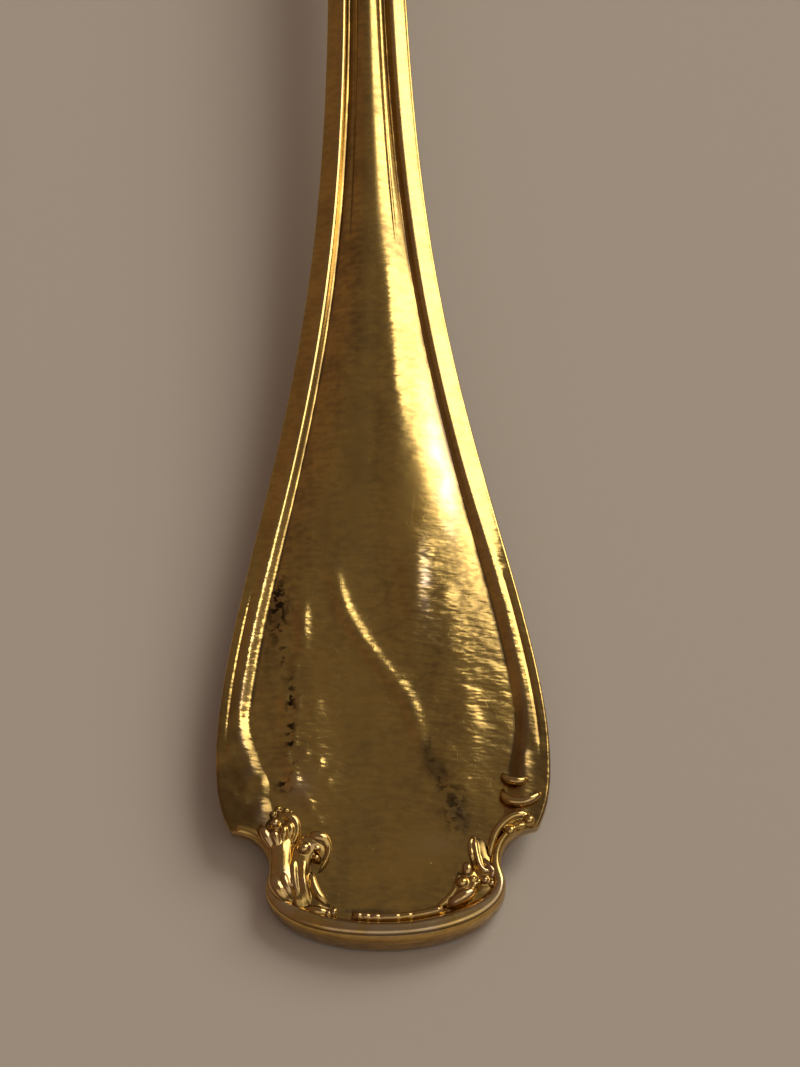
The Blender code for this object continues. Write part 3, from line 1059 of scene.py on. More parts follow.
@dataclass(frozen=True)
class Gilding:
    """A gilt finish: its colours, polish, and how worn it is."""

    name: str
    gold: Colour = (0.72, 0.47, 0.14)
    # Colour of tarnish, also used as painted shade in grooves and at feet
    tarnish_and_shade_brown: Colour = (0.13, 0.08, 0.04)
    pit: Colour = (0.05, 0.03, 0.015)
    base_metal: Colour = (0.66, 0.50, 0.38)
    roughness: float = 0.15
    ripple_scale: float = 1500.0
    ripple_depth: float = 3.2e-5
    ripple_least: float = 0.03
    scratch_scale: float = 900.0
    scratch_depth: float = 0.5e-6
    scratching: float = 1.0
    tarnish: float = 0.62
    tarnish_and_shade_scale: float = 450.0
    wear: float = 0.8
    wear_scale: float = 900.0
    pitting: float = 1.0
    pit_scale: float = 3400.0
    dulling: float = 0.16
    scuffing: float = 0.08

    def material(self, effects: EffectGroups) -> bpy.types.Material:
        """Material of the finish.

        Args:
            effects: Shared surface effects.

        Returns:
            A metal whose colour, roughness and surface follow the effects.
        """
        material = bpy.data.materials.new(self.name)
        material.use_nodes = True
        write = NodeWriter(material.node_tree)
        shader = material.node_tree.nodes["Principled BSDF"]
        shader.inputs["Metallic"].default_value = 1.0
        place = write.node("ShaderNodeTexCoord").outputs["Object"]

        ripple = write.group(effects.get(Effect.RIPPLE), Vector=place, Scale=self.ripple_scale,
                             Strength=write.attribute(Mark.BEATEN), Least=self.ripple_least)
        scratch = write.group(effects.get(Effect.SCRATCHES), Vector=place, Scale=self.scratch_scale,
                              Amount=self.scratching)
        bloom = write.group(effects.get(Effect.BLOOM), Vector=place, Scale=self.tarnish_and_shade_scale,
                            Recess=write.attribute(Mark.RECESS), Amount=self.tarnish)
        wear = write.group(effects.get(Effect.WEAR), Vector=place, Scale=self.wear_scale,
                           Crest=write.attribute(Mark.CREST), Amount=self.wear)
        pits = write.group(effects.get(Effect.PITS), Vector=place, Scale=self.pit_scale,
                           Field=write.attribute(Mark.PITTED), Amount=self.pitting)

        # The tarnish colour, which is also painted shade where the mark gives it
        tarnished_and_shaded = write.blend(bloom, self.gold, self.tarnish_and_shade_brown)
        # Paler base metal on worn crests, and on spots that whiten a highlight as painted highlight
        rubbed = write.blend(wear, tarnished_and_shaded, self.base_metal)
        write.feed(write.blend(pits, rubbed, self.pit), shader.inputs["Base Color"])

        dull = write.maths("MULTIPLY", bloom, self.dulling)
        scuffed = write.maths("MULTIPLY", scratch, self.scuffing)
        write.feed(write.maths("ADD", dull, scuffed, self.roughness), shader.inputs["Roughness"])

        waves = write.bump(ripple, self.ripple_depth)
        write.feed(write.bump(scratch, -self.scratch_depth, waves), shader.inputs["Normal"])
        return material


# Pieces


@dataclass
class Piece(ABC):
    """A piece of the spoon that stands for one solid of the frame."""

    node: str
    spine: Spine
    plan: Plan
    slot: Slot

    @abstractmethod
    def shell(self) -> Shell:
        """Shell of the piece in the flat drawing."""

    def place(self, material: bpy.types.Material) -> bpy.types.Object:
        """Build the piece, dress it and set it in the frame.

        Args:
            material: Finish of the piece.

        Returns:
            The new object.
        """
        name = "gilt_" + self.node
        mesh = self.shell().mesh(name, self.spine)
        mesh.materials.append(material)
        piece = bpy.data.objects.new(name, mesh)
        bpy.context.scene.collection.objects.link(piece)
        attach(piece, BODY)
        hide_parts(self.node)
        LOG.info("%s: %d vertices, %d faces", name, len(mesh.vertices), len(mesh.polygons))
        return piece


@dataclass
class Plate(Piece):
    """A plate with a face, a back and a rounded edge, drawn on rays from its axis to its edge."""

    face_columns: int = 26
    back_columns: int = 14
    arc_columns: int = 6
    column_power: float = 1.35
    ray_softness: float = 20.0
    face_rounding: float = 0.12
    back_rounding: float = 0.30

    @abstractmethod
    def edge(self) -> Edge:
        """Right edge of the plate, from axis to axis."""

    @abstractmethod
    def stations(self, edge: Edge) -> Values:
        """Distances along the edge that rays are drawn to."""

    @abstractmethod
    def axis_stations(self, edge: Edge, travel: Values, points: Points) -> Values:
        """Stations on the axis that the rays start from."""

    @abstractmethod
    def face(self, across: Values, along: Values) -> Values:
        """Height of the face."""

    @abstractmethod
    def back(self, across: Values, along: Values) -> Values:
        """Height of the back."""

    @abstractmethod
    def marks(self, flat: Points) -> Marks:
        """Marks of points on the plate."""

    def shell(self) -> Shell:
        """Draw the plate on its rays.

        Returns:
            Shell of its two halves, which are welded on the axis later.
        """
        edge = self.edge()
        travel = self.stations(edge)
        points = edge.at(travel)[0]
        inward = Edge(edge.points, Edge.soften(edge.inward, self.ray_softness), edge.travel).at(travel)[1]
        inward[[0, -1], 0] = 0.0
        points[[0, -1], 0] = 0.0
        axis = np.column_stack([np.zeros(len(travel)), self.axis_stations(edge, travel, points)])
        halves = []
        for side in Side:
            turn = (side.value, 1.0)
            line = (points * turn, inward * turn, axis)
            top = self.chain(*line, self.face, self.top_rounding(points), self.face_columns, -1.0)
            under = self.chain(*line, self.back, self.under_rounding(points), self.back_columns, 1.0)
            halves.append(np.concatenate([top, under[:, ::-1]], axis=1))
        right, left = halves
        rings = np.concatenate([right, left[:, -2:0:-1]], axis=1)
        shell = Shell.loft(rings, {})
        return Shell(shell.flat, shell.faces[:-2], self.marks(shell.flat))

    def top_rounding(self, points: Points) -> Values:
        """Radius of the top edge's rounding at points on the edge."""
        return np.full(len(points), self.face_rounding)

    def under_rounding(self, points: Points) -> Values:
        """Radius of the under edge's rounding at points on the edge."""
        return np.full(len(points), self.back_rounding)

    def chain(self, points: Points, inward: Points, axis: Points, height: Surface, rounding: Values,
              columns: int, fall: float) -> Points:
        """Points on one surface from the axis out to the edge.

        Args:
            points: Points on the edge.
            inward: Directions into the plate.
            axis: Points on the axis.
            height: Function that gives the surface's height.
            rounding: Radius of the edge's rounding for each ray.
            columns: Columns between the axis and the rounding.
            fall: Way that the rounding turns, -1 for the face and 1 for the back.

        Returns:
            Array of shape (rays, columns, 3).
        """
        inner = points + inward * rounding[:, None]
        share = 1.0 - (1.0 - np.linspace(0.0, 1.0, columns)) ** self.column_power
        plan = axis[:, None] + (inner - axis)[:, None] * share[None, :, None]
        turn = np.linspace(0.0, np.pi / 2.0, self.arc_columns + 1)[1:]
        arc = points[:, None] + inward[:, None] * (rounding[:, None] * (1.0 - np.sin(turn)))[..., None]
        plan = np.concatenate([plan, arc], axis=1)
        up = height(plan[..., 0], plan[..., 1])
        drop = rounding[:, None] * np.concatenate([np.zeros(columns), 1.0 - np.cos(turn)])
        return np.concatenate([plan, (up + fall * drop)[..., None]], axis=2)


@dataclass
class HandleBlank(Plate):
    """The handle's blank: crowned panel, seat for the borders, rounded back, and lapping tongue."""

    terminal_thickness: float = 1.25
    stem_thickness: float = 1.90
    back_lift: float = 0.35
    back_power: float = 4.0
    handle_rounding: float = 0.58
    neck_fade: float = 8.0
    terminal_crown: float = 0.13
    terminal_crown_power: float = 3.6
    stem_crown: float = 0.50
    stem_crown_power: float = 2.0
    crown_start: float = 2.0
    crown_fade: float = 12.0
    line_share: float = 0.70
    line_width: float = 0.055
    line_depth: float = 0.045
    line_end: float = 31.5
    line_fade: float = 4.0
    tongue_tip_thickness: float = 0.45
    tongue_rounding: float = 0.6
    tongue_fan: float = 0.6
    tongue_fan_share: float = 0.2
    step_length: float = 0.04
    fan_start: float = 2.0
    fan_end: float = 5.8
    tip_step: float = 0.10
    stem_step: float = 0.30
    tongue_end: float = 1.5
    tongue_end_rays: int = 24
    face_columns: int = 72
    face_floor: float = -0.3
    # Painted shade along the groove at the panel's edge
    groove_width: float = 0.14
    # Painted shade on the underside towards the tip
    underside_shade_start: float = 0.45
    underside_shade_fade: float = 0.4
    underside_shade_end: float = 12.0
    beaten_end: float = 13.5
    beaten_fade: float = 8.0
    beaten_least: float = 0.55
    edge_wear: float = 0.2
    edge_wear_width: float = 0.3
    crease_height: float = 0.090
    crease_width: float = 0.29
    crease_end_power: float = 0.5
    crease_samples: int = 12
    crease_path: tuple[tuple[float, float], ...] = (
        (-1.95, 17.0), (-1.77, 16.1), (-1.42, 14.8), (-0.57, 13.2), (0.23, 12.0), (1.07, 10.7),
        (1.41, 9.5), (1.62, 8.4))
    # Real stains; the three rows at along 1.4 paint a shade line above the bead
    stains: tuple[Blot, ...] = blots(
        (1.75, 8.6, 0.30, 1.1, 0.8), (2.25, 7.5, 0.45, 0.9, 0.9), (2.9, 6.2, 0.5, 0.8, 1.0),
        (3.2, 5.2, 0.4, 0.6, 0.9), (-4.3, 15.2, 0.5, 1.8, 0.8), (-3.8, 8.9, 0.3, 1.2, 0.3),
        (-0.3, 36.0, 0.3, 9.0, 0.5), (-0.9, 22.0, 0.7, 5.0, 0.5), (-2.2, 19.0, 0.4, 3.0, 0.4),
        (0.4, 14.2, 0.6, 1.6, 0.35), (-1.2, 1.42, 0.9, 0.14, 1.0), (0.3, 1.38, 1.0, 0.13, 1.0),
        (1.7, 1.52, 0.8, 0.15, 1.0), (4.4, 10.4, 0.9, 4.2, 0.62), (4.0, 15.0, 0.7, 2.2, 0.40))
    pits: tuple[Blot, ...] = blots(
        (-4.25, 15.2, 0.40, 1.7, 1.2), (-4.0, 12.8, 0.14, 0.9, 0.8), (-3.75, 10.9, 0.18, 1.0, 1.1),
        (-3.75, 8.9, 0.22, 1.3, 1.1), (-4.05, 7.0, 0.3, 0.3, 1.2), (2.9, 5.9, 0.5, 1.2, 0.8),
        (1.95, 8.2, 0.16, 0.8, 0.7), (2.4, 7.1, 0.22, 0.6, 0.8))
    # Worn spots of paler base metal; the four rows from along 19.3 to 24.6 lie on the right flank's
    # highlight and whiten it as painted highlight
    rubs_and_highlights: tuple[Blot, ...] = blots(
        (2.1, 24.6, 0.30, 1.6, 0.5), (2.5, 22.7, 0.33, 1.5, 0.9), (2.9, 20.6, 0.33, 1.4, 1.0),
        (3.15, 19.3, 0.30, 0.8, 0.6), (1.9, 16.2, 0.26, 1.6, 0.9), (-3.4, 7.2, 0.5, 0.8, 0.6),
        (2.2, 4.3, 1.0, 0.5, 0.25))
    cleaned: tuple[Blot, ...] = blots(
        (1.7, 4.3, 1.2, 0.9, 1.0), (0.4, 3.1, 1.4, 0.6, 0.8), (-2.7, 7.2, 0.8, 1.4, 0.9),
        (-1.2, 10.6, 1.4, 1.5, 0.6), (0.6, 8.0, 0.8, 2.0, 0.4), (-1.6, 5.4, 0.9, 1.2, 0.4),
        (1.2, 20.0, 0.9, 3.0, 0.8), (-2.6, 12.0, 0.5, 1.5, 0.5))
    beaten_spots: tuple[Blot, ...] = blots(
        (1.6, 13.6, 1.3, 4.0, 0.9), (2.9, 9.0, 0.9, 3.0, 0.7), (-3.2, 8.0, 0.9, 3.0, 0.8),
        (0.8, 22.5, 0.6, 4.0, 0.6), (0.7, 29.0, 0.5, 4.0, 0.5))
    dents: tuple[Blot, ...] = blots(
        (-3.95, 10.7, 0.20, 0.5, 0.050), (1.7, 21.8, 1.1, 3.4, 0.050), (1.40, 16.2, 0.60, 1.9, 0.085),
        (2.75, 15.5, 0.55, 1.3, 0.036), (2.9, 12.8, 0.8, 1.5, 0.040), (3.5, 9.8, 0.6, 1.8, 0.045),
        (3.1, 6.8, 0.5, 0.8, 0.035), (-3.2, 14.2, 0.26, 1.3, 0.075), (-3.55, 12.2, 0.16, 0.30, 0.05),
        (-3.65, 7.3, 0.25, 0.5, 0.06), (-3.25, 6.4, 0.25, 0.4, 0.05), (-2.7, 10.4, 0.3, 0.5, 0.03),
        (-3.45, 10.7, 0.18, 0.4, 0.05), (-3.6, 9.0, 0.15, 0.3, 0.05), (-3.2, 8.3, 0.2, 0.3, 0.04),
        (-2.9, 7.6, 0.25, 0.3, 0.035), (-2.6, 7.9, 0.18, 0.25, 0.04), (-2.3, 7.0, 0.2, 0.25, 0.035),
        (-3.0, 6.0, 0.18, 0.3, 0.045), (-2.7, 5.4, 0.2, 0.25, 0.035), (-3.9, 8.2, 0.15, 0.3, 0.05))

    def edge(self) -> Edge:
        """Right edge of the handle and its tongue."""
        return self.plan.handle_edge()

    def stations(self, edge: Edge) -> Values:
        """Close rays round the tip, and wider ones along the stem.

        Args:
            edge: Right edge of the handle.

        Returns:
            Distances along the edge.
        """
        turn = edge.travel_at_station(self.plan.widest)
        joint = edge.travel_at_station(HANDLE_LENGTH)
        end = edge.travel[-1]
        tip = np.arange(0.0, turn, self.tip_step)
        stem = np.linspace(turn, joint, int((joint - turn) / self.stem_step))
        lap = joint + self.step_length
        tongue = np.linspace(lap, end - self.tongue_end, int((end - lap) / self.stem_step))
        round_end = np.linspace(end - self.tongue_end, end, self.tongue_end_rays)[1:]
        return np.concatenate([tip, stem, tongue, round_end])

    def axis_stations(self, edge: Edge, travel: Values, points: Points) -> Values:
        """Rays fan out at the tip and at the tongue's end, and run straight across between.

        Args:
            edge: Right edge of the handle.
            travel: Distances along the edge.
            points: Points at those distances.

        Returns:
            Stations on the axis.
        """
        along = points[:, 1]
        turn = edge.travel_at_station(self.fan_end)
        fan = mix(self.fan_start, self.fan_end, travel / turn)
        end = HANDLE_LENGTH + self.plan.tongue_length
        straight = np.minimum(along, end - self.tongue_fan + self.tongue_fan_share * (along - end))
        return np.where(travel < turn, fan, straight)

    def under_rounding(self, points: Points) -> Values:
        """A full rounding under the handle, and a small one under the tongue."""
        lap = climb(points[:, 1], HANDLE_LENGTH - self.neck_fade, self.neck_fade)
        return mix(self.handle_rounding, self.back_rounding, lap)

    def panel_height(self, across: Values, along: Values) -> Values:
        """Height of the crowned panel above the seat, with its engraved line, dents and crease.

        Args:
            across: Places across the spoon.
            along: Stations of the places.

        Returns:
            Heights at the places.
        """
        share = self.plan.flare_share(np.maximum(along, self.plan.widest))
        crown = mix(self.stem_crown, self.terminal_crown, share)
        crown = crown * climb(along, self.crown_start, self.crown_fade)
        power = mix(self.stem_crown_power, self.terminal_crown_power, share)
        half = self.plan.panel_half_width(along)
        outward = np.clip(np.abs(across) / half, 0.0, 1.0)
        line = bump_at(np.abs(across), self.line_share * half, self.line_width)
        line = self.line_depth * line * climb(along, self.line_end, self.line_fade)
        marks = total(self.dents, across, along) + self.crease(across, along) - line
        return crown * (1.0 - outward ** power) + marks

    def crease(self, across: Values, along: Values) -> Values:
        """Height of the long bent crease across the terminal.

        Args:
            across: Places across the spoon.
            along: Stations of the places.

        Returns:
            Heights at the places.
        """
        path = spline(np.array(self.crease_path, float), self.crease_samples)
        place = np.stack([np.asarray(across).ravel(), np.asarray(along).ravel()], axis=1)
        gap = np.full(len(place), np.inf)
        ends = np.zeros(len(place))
        for index, point in enumerate(path):
            reach = np.hypot(*(place - point).T)
            closer = reach < gap
            gap = np.where(closer, reach, gap)
            ends = np.where(closer, np.sin(np.pi * index / (len(path) - 1)), ends)
        ridge = self.crease_height * bump_at(gap, 0.0, self.crease_width) * ends ** self.crease_end_power
        return ridge.reshape(np.shape(across))

    def face(self, across: Values, along: Values) -> Values:
        """Panel and seat of the handle, then the tongue's seat inside the bowl's wall.

        Args:
            across: Places across the spoon.
            along: Stations of the places.

        Returns:
            Heights at the places.
        """
        open_face = self.panel_height(across, np.minimum(along, HANDLE_LENGTH))
        sunk = self.plan.bowl_back(across, along) + SINK
        return mix(open_face, sunk, climb(along, HANDLE_LENGTH, self.step_length))

    def thickness(self, along: Values) -> Values:
        """Thickness of the blank below its seat, on the axis."""
        share = self.plan.flare_share(np.maximum(along, self.plan.widest))
        return mix(self.stem_thickness, self.terminal_thickness, share)

    def back(self, across: Values, along: Values) -> Values:
        """Back of the handle, which lifts towards its edges, then the back of the tongue.

        Args:
            across: Places across the spoon.
            along: Stations of the places.

        Returns:
            Heights at the places.
        """
        plan = self.plan
        sideways = np.abs(across)
        station = np.minimum(along, HANDLE_LENGTH)
        half = plan.half_width(np.maximum(station, plan.widest))
        lift = self.back_lift * np.clip(sideways / half, 0.0, 1.0) ** self.back_power
        handle = -self.thickness(station) * (1.0 - lift)
        width = plan.tongue_half_width(along)
        rounding = 1.0 - self.tongue_rounding * np.clip(sideways / width, 0.0, 1.0) ** self.back_power
        share = np.clip((along - HANDLE_LENGTH) / plan.tongue_length, 0.0, 1.0)
        thickness = mix(self.stem_thickness - plan.bowl_wall, self.tongue_tip_thickness, share)
        tongue = plan.bowl_back(across, along) - thickness * rounding
        return np.where(along <= HANDLE_LENGTH, handle, tongue)

    def marks(self, flat: Points) -> Marks:
        """Painted shade in the edge groove and under the tip, stains with a painted shade line above the
        bead, cleaned places, beaten flanks, pits, and worn spots, some of them a painted highlight.

        Args:
            flat: Points on the handle.

        Returns:
            Their marks; a shade-and-tarnish value below 0 is a cleaned place.
        """
        across, along, up = flat.T
        sideways = np.abs(across)
        half = self.plan.panel_half_width(along)
        on_face = (up > self.face_floor) * (along < HANDLE_LENGTH)
        # Painted shade in the groove at the panel's edge
        groove = bump_at(sideways - half, 0.0, self.groove_width) * (along > SPREAD_START)
        dark = np.clip(np.maximum(groove, total(self.stains, across, along)), 0.0, 1.0)
        clean = np.clip(total(self.cleaned, across, along), 0.0, 1.0)
        tarnished_and_shaded = np.where(dark > clean, dark, -clean) * on_face
        # Painted shade on the underside and at the end wall's foot near the tip
        under = climb(-up / self.thickness(along), self.underside_shade_start, self.underside_shade_fade)
        under = under * fade(along, 0.0, self.underside_shade_end)
        beaten = fade(along, self.beaten_end, self.beaten_fade)
        flank = mix(self.beaten_least, 1.0, smooth_step(sideways / half))
        hit = total(self.beaten_spots, across, along)
        edge = climb(sideways / half, 1.0, self.edge_wear_width) * self.edge_wear
        # Worn spots, some of them painted highlight
        rubbed = total(self.rubs_and_highlights, across, along) * on_face
        return {
            Mark.CREST: np.clip(np.maximum(edge, rubbed), 0.0, 1.0),
            Mark.RECESS: np.where(under > 0.0, under, tarnished_and_shaded),
            Mark.BEATEN: (beaten * flank + hit) * on_face,
            Mark.PITTED: np.clip(total(self.pits, across, along), 0.0, 1.0) * on_face,
        }


@dataclass
class Bowl(Plate):
    """The bowl, with a rounded lip and a heel that takes up the stem's crown."""

    handle: HandleBlank | None = None
    heel_crown_length: float = 4.0
    joint_rounding: float = 0.015
    joint_fade: float = 0.8
    front_step: float = 0.30
    fan_front: float = 2.0
    fan_heel: float = 0.3
    fan_power: float = 0.8
    heel_ray: float = 0.2
    straight_start: float = 0.55
    straight_length: float = 0.35
    lip_start: float = 0.95
    lip_length: float = 0.04
    lip_from_heel: float = 4.0
    lip_fade: float = 4.0
    lip_wear: float = 0.6
    rest_depth: float = 5.25
    rest_length: float = 0.3
    rest_wear: float = 0.7
    heel_start: float = 0.2
    heel_fade: float = 0.6
    heel_tarnish: float = 0.3
    beaten: float = 0.25

    def edge(self) -> Edge:
        """Right edge of the bowl."""
        return self.plan.bowl_edge()

    def stations(self, edge: Edge) -> Values:
        """Even rays round the bowl."""
        return np.linspace(0.0, edge.travel[-1], int(edge.travel[-1] / self.front_step))

    def top_rounding(self, points: Points) -> Values:
        """A rounded lip that sharpens at the joint with the handle."""
        share = climb(points[:, 1], HANDLE_LENGTH + self.plan.corner_softness, self.joint_fade)
        return mix(self.joint_rounding, self.face_rounding, share)

    def axis_stations(self, edge: Edge, travel: Values, points: Points) -> Values:
        """Rays fan out from the middle of the bowl, and run straight across at its heel.

        Args:
            edge: Right edge of the bowl; not used here.
            travel: Distances along the edge.
            points: Points at those distances.

        Returns:
            Stations on the axis.
        """
        share = travel / travel[-1]
        front = self.plan.bowl_middle + self.fan_front
        fan = mix(front, HANDLE_LENGTH + self.fan_heel, smooth_step(share) ** self.fan_power)
        straight = np.maximum(points[:, 1], HANDLE_LENGTH + self.heel_ray)
        return mix(fan, straight, climb(share, self.straight_start, self.straight_length))

    def face(self, across: Values, along: Values) -> Values:
        """Inside of the bowl, with the stem's panel dying away over the heel.

        Args:
            across: Places across the spoon.
            along: Stations of the places.

        Returns:
            Heights at the places.
        """
        panel = self.handle.panel_height(across, np.full_like(along, HANDLE_LENGTH))
        panel = panel * fade(along, HANDLE_LENGTH, self.heel_crown_length)
        return panel - self.plan.bowl_hollow(across, along)

    def back(self, across: Values, along: Values) -> Values:
        """Outside of the bowl."""
        return self.plan.bowl_back(across, along)

    def marks(self, flat: Points) -> Marks:
        """Wear on the lip and where the bowl rests, tarnish at the heel, and a light ripple.

        Args:
            flat: Points on the bowl.

        Returns:
            Their marks.
        """
        across, along, up = flat.T
        from_heel = along - HANDLE_LENGTH
        lip = climb(np.sqrt(self.plan.bowl_reach(across, along)), self.lip_start, self.lip_length)
        lip = lip * climb(from_heel, self.lip_from_heel, self.lip_fade)
        rest = climb(-up, self.rest_depth, self.rest_length)
        return {
            Mark.CREST: np.maximum(lip * self.lip_wear, rest * self.rest_wear),
            Mark.RECESS: fade(from_heel, self.heel_start, self.heel_fade) * self.heel_tarnish,
            Mark.BEATEN: np.full(len(flat), self.beaten),
        }


@dataclass
class SidePiece(Piece):
    """A piece that the spoon has on both sides, drawn for the right one."""

    side: Side = Side.RIGHT

    @abstractmethod
    def right_shell(self) -> Shell:
        """Shell of the right-hand piece."""

    def shell(self) -> Shell:
        """Shell of the piece on its own side."""
        shell = self.right_shell()
        return shell if self.side is Side.RIGHT else shell.mirrored()


@dataclass(frozen=True)
class Section:
    """Section of a border: an outer slope up to a crest, and a rounded inner wall."""

    edge_height: float
    height: float
    outer_start: float
    crest_share: float


@dataclass(frozen=True)
class Border:
    """The moulded border, which goes from one section on the terminal to another on the stem."""

    stem: Section = Section(0.03, 0.22, 0.0, 0.72)
    terminal: Section = Section(0.145, 0.18, 0.34, 0.62)
    terminal_start: float = 14.5
    terminal_fade: float = 8.0
    end_spread: float = 0.0
    end_spread_length: float = 3.2
    end_level: float = 0.75
    end_length: float = 3.0
    lumps: tuple[Blot, ...] = ()
    lump_power: float = 6.0
    crest_softness: float = 0.04
    corner_share: float = 0.07
    reed_reach: float = 0.42
    reed_width: float = 0.06
    reed_depth: float = 0.035
    reed_start: float = 7.6
    reed_end: float = 14.0
    reed_fade: float = 3.0
    # Painted shade in the reed line
    reed_shade: float = 0.6
    groove_power: float = 3.0
    wear: float = 0.3
    wear_start: float = 0.8
    wear_length: float = 0.2
    beaten_end: float = 12.0
    beaten_fade: float = 12.0
    beaten_most: float = 0.9
    dull_most: float = 0.8
    dull_end: float = 8.0
    dull_fade: float = 8.0
    columns: int = 40
    fine_columns: int = 561
    fine_margin: float = 0.2

    def profile(self, share: Values, section: Section) -> Values:
        """Height of a section.

        Args:
            share: Shares of its width, from the outer edge inwards.
            section: The section.

        Returns:
            Heights at the shares.
        """
        fine = np.linspace(-self.fine_margin, 1.0 + self.fine_margin, self.fine_columns)
        crest = section.crest_share
        slope = climb(fine, section.outer_start, crest - section.outer_start)
        level = mix(section.edge_height, section.height, slope) * fade(fine, crest, 1.0 - crest)
        soft = Edge.soften(level[:, None], self.crest_softness / (fine[1] - fine[0]))[:, 0]
        corner = np.sqrt(1.0 - np.clip(1.0 - share / self.corner_share, 0.0, 1.0) ** 2)
        return np.interp(share, fine, soft) * corner

    def shell(self, plan: Plan, along: Values, level: Values, dive: Values) -> Shell:
        """Loft of the border on the right side.

        Args:
            plan: Plan of the spoon.
            along: Stations of the loft.
            level: How much of the full height each station has.
            dive: How far each station is sunk into the blank.

        Returns:
            The closed shell of the border.
        """
        share = np.linspace(0.0, 1.0, self.columns)
        station = along[:, None]
        stem = self.profile(share, self.stem)
        terminal = self.profile(share, self.terminal)
        profile = mix(terminal, stem, climb(station, self.terminal_start, self.terminal_fade))
        spread = self.end_spread * fade(along, SPREAD_START, self.end_spread_length)
        reach = (plan.thread_width(along) + spread)[:, None] * share
        reed = bump_at(reach, self.reed_reach, self.reed_width)
        reed = reed * climb(station, self.reed_start, self.reed_fade)
        reed = reed * fade(station, self.reed_end, self.reed_fade)
        across = plan.half_width(along)[:, None] - reach
        lumps = total(self.lumps, across, station) * (1.0 - share ** self.lump_power)
        rise = (profile - self.reed_depth * reed) * level[:, None] - dive[:, None] + lumps
        top = np.stack([across, np.broadcast_to(station, across.shape), rise], axis=2)
        wear = climb(stem / self.stem.height, self.wear_start, self.wear_length) * self.wear
        crest_share = self.stem.crest_share
        # Painted shade down the inner wall into the groove, in the reed line and at the inner foot; the
        # dull end stretch is tarnish
        groove = np.clip((share - crest_share) / (1.0 - crest_share), 0.0, 1.0) ** self.groove_power
        dull = self.dull_most * fade(station, self.dull_end, self.dull_fade)
        dark = np.maximum(np.maximum(groove, reed * self.reed_shade), dull)
        return Shell.loft(with_foot(top, np.array([-FOOT_INSET, 0.0])), {
            Mark.CREST: with_ends(wear, (0.0, 0.0)),
            Mark.RECESS: with_ends(dark, (1.0, 0.0)),
            Mark.BEATEN: fade(station, self.beaten_end, self.beaten_fade) * self.beaten_most,
        })


@dataclass
class Thread(SidePiece):
    """The thread along a border, from the knuckles at the shoulder to where it dies away at the neck."""

    border: Border = Border()
    end: float = 73.4
    fade_length: float = 9.0
    dive: float = 0.06
    dive_length: float = 1.6
    step: float = 0.16

    def right_shell(self) -> Shell:
        """Loft of the thread.

        Returns:
            Its closed shell.
        """
        along = np.linspace(KNUCKLES_END, self.end, int((self.end - KNUCKLES_END) / self.step))
        rise = mix(self.border.end_level, 1.0, climb(along, KNUCKLES_END, self.border.end_length))
        fall = fade(along, self.end - self.fade_length, self.fade_length - self.dive_length)
        dive = self.dive * climb(along, self.end - self.dive_length, self.dive_length)
        return self.border.shell(self.plan, along, rise * fall, dive)


@dataclass
class Melted(SidePiece):
    """A side piece made of strands that are melted together."""

    strands: tuple[Strand, ...] = ()
    melt: Melt = Melt()

    def right_shell(self) -> Shell:
        """The melted strands."""
        return self.melt.shell(self.strands)


@dataclass
class Knuckles(Melted):
    """The end of a thread at the shoulder, on the border's last low stretch."""

    melt: Melt = Melt(rubbed=0.35)
    border: Border = Border()
    start: float = 5.02
    step: float = 0.1

    def right_shell(self) -> Shell:
        """The border's end, with crescents melted onto it where the side has them.

        Returns:
            The shell of both.
        """
        count = int((KNUCKLES_END - self.start) / self.step)
        along = np.linspace(self.start, KNUCKLES_END, count)
        under = self.border.shell(self.plan, along, np.full(count, self.border.end_level), np.zeros(count))
        return super().right_shell().joined(under) if self.strands else under


# Ornament of each side, drawn for the right one


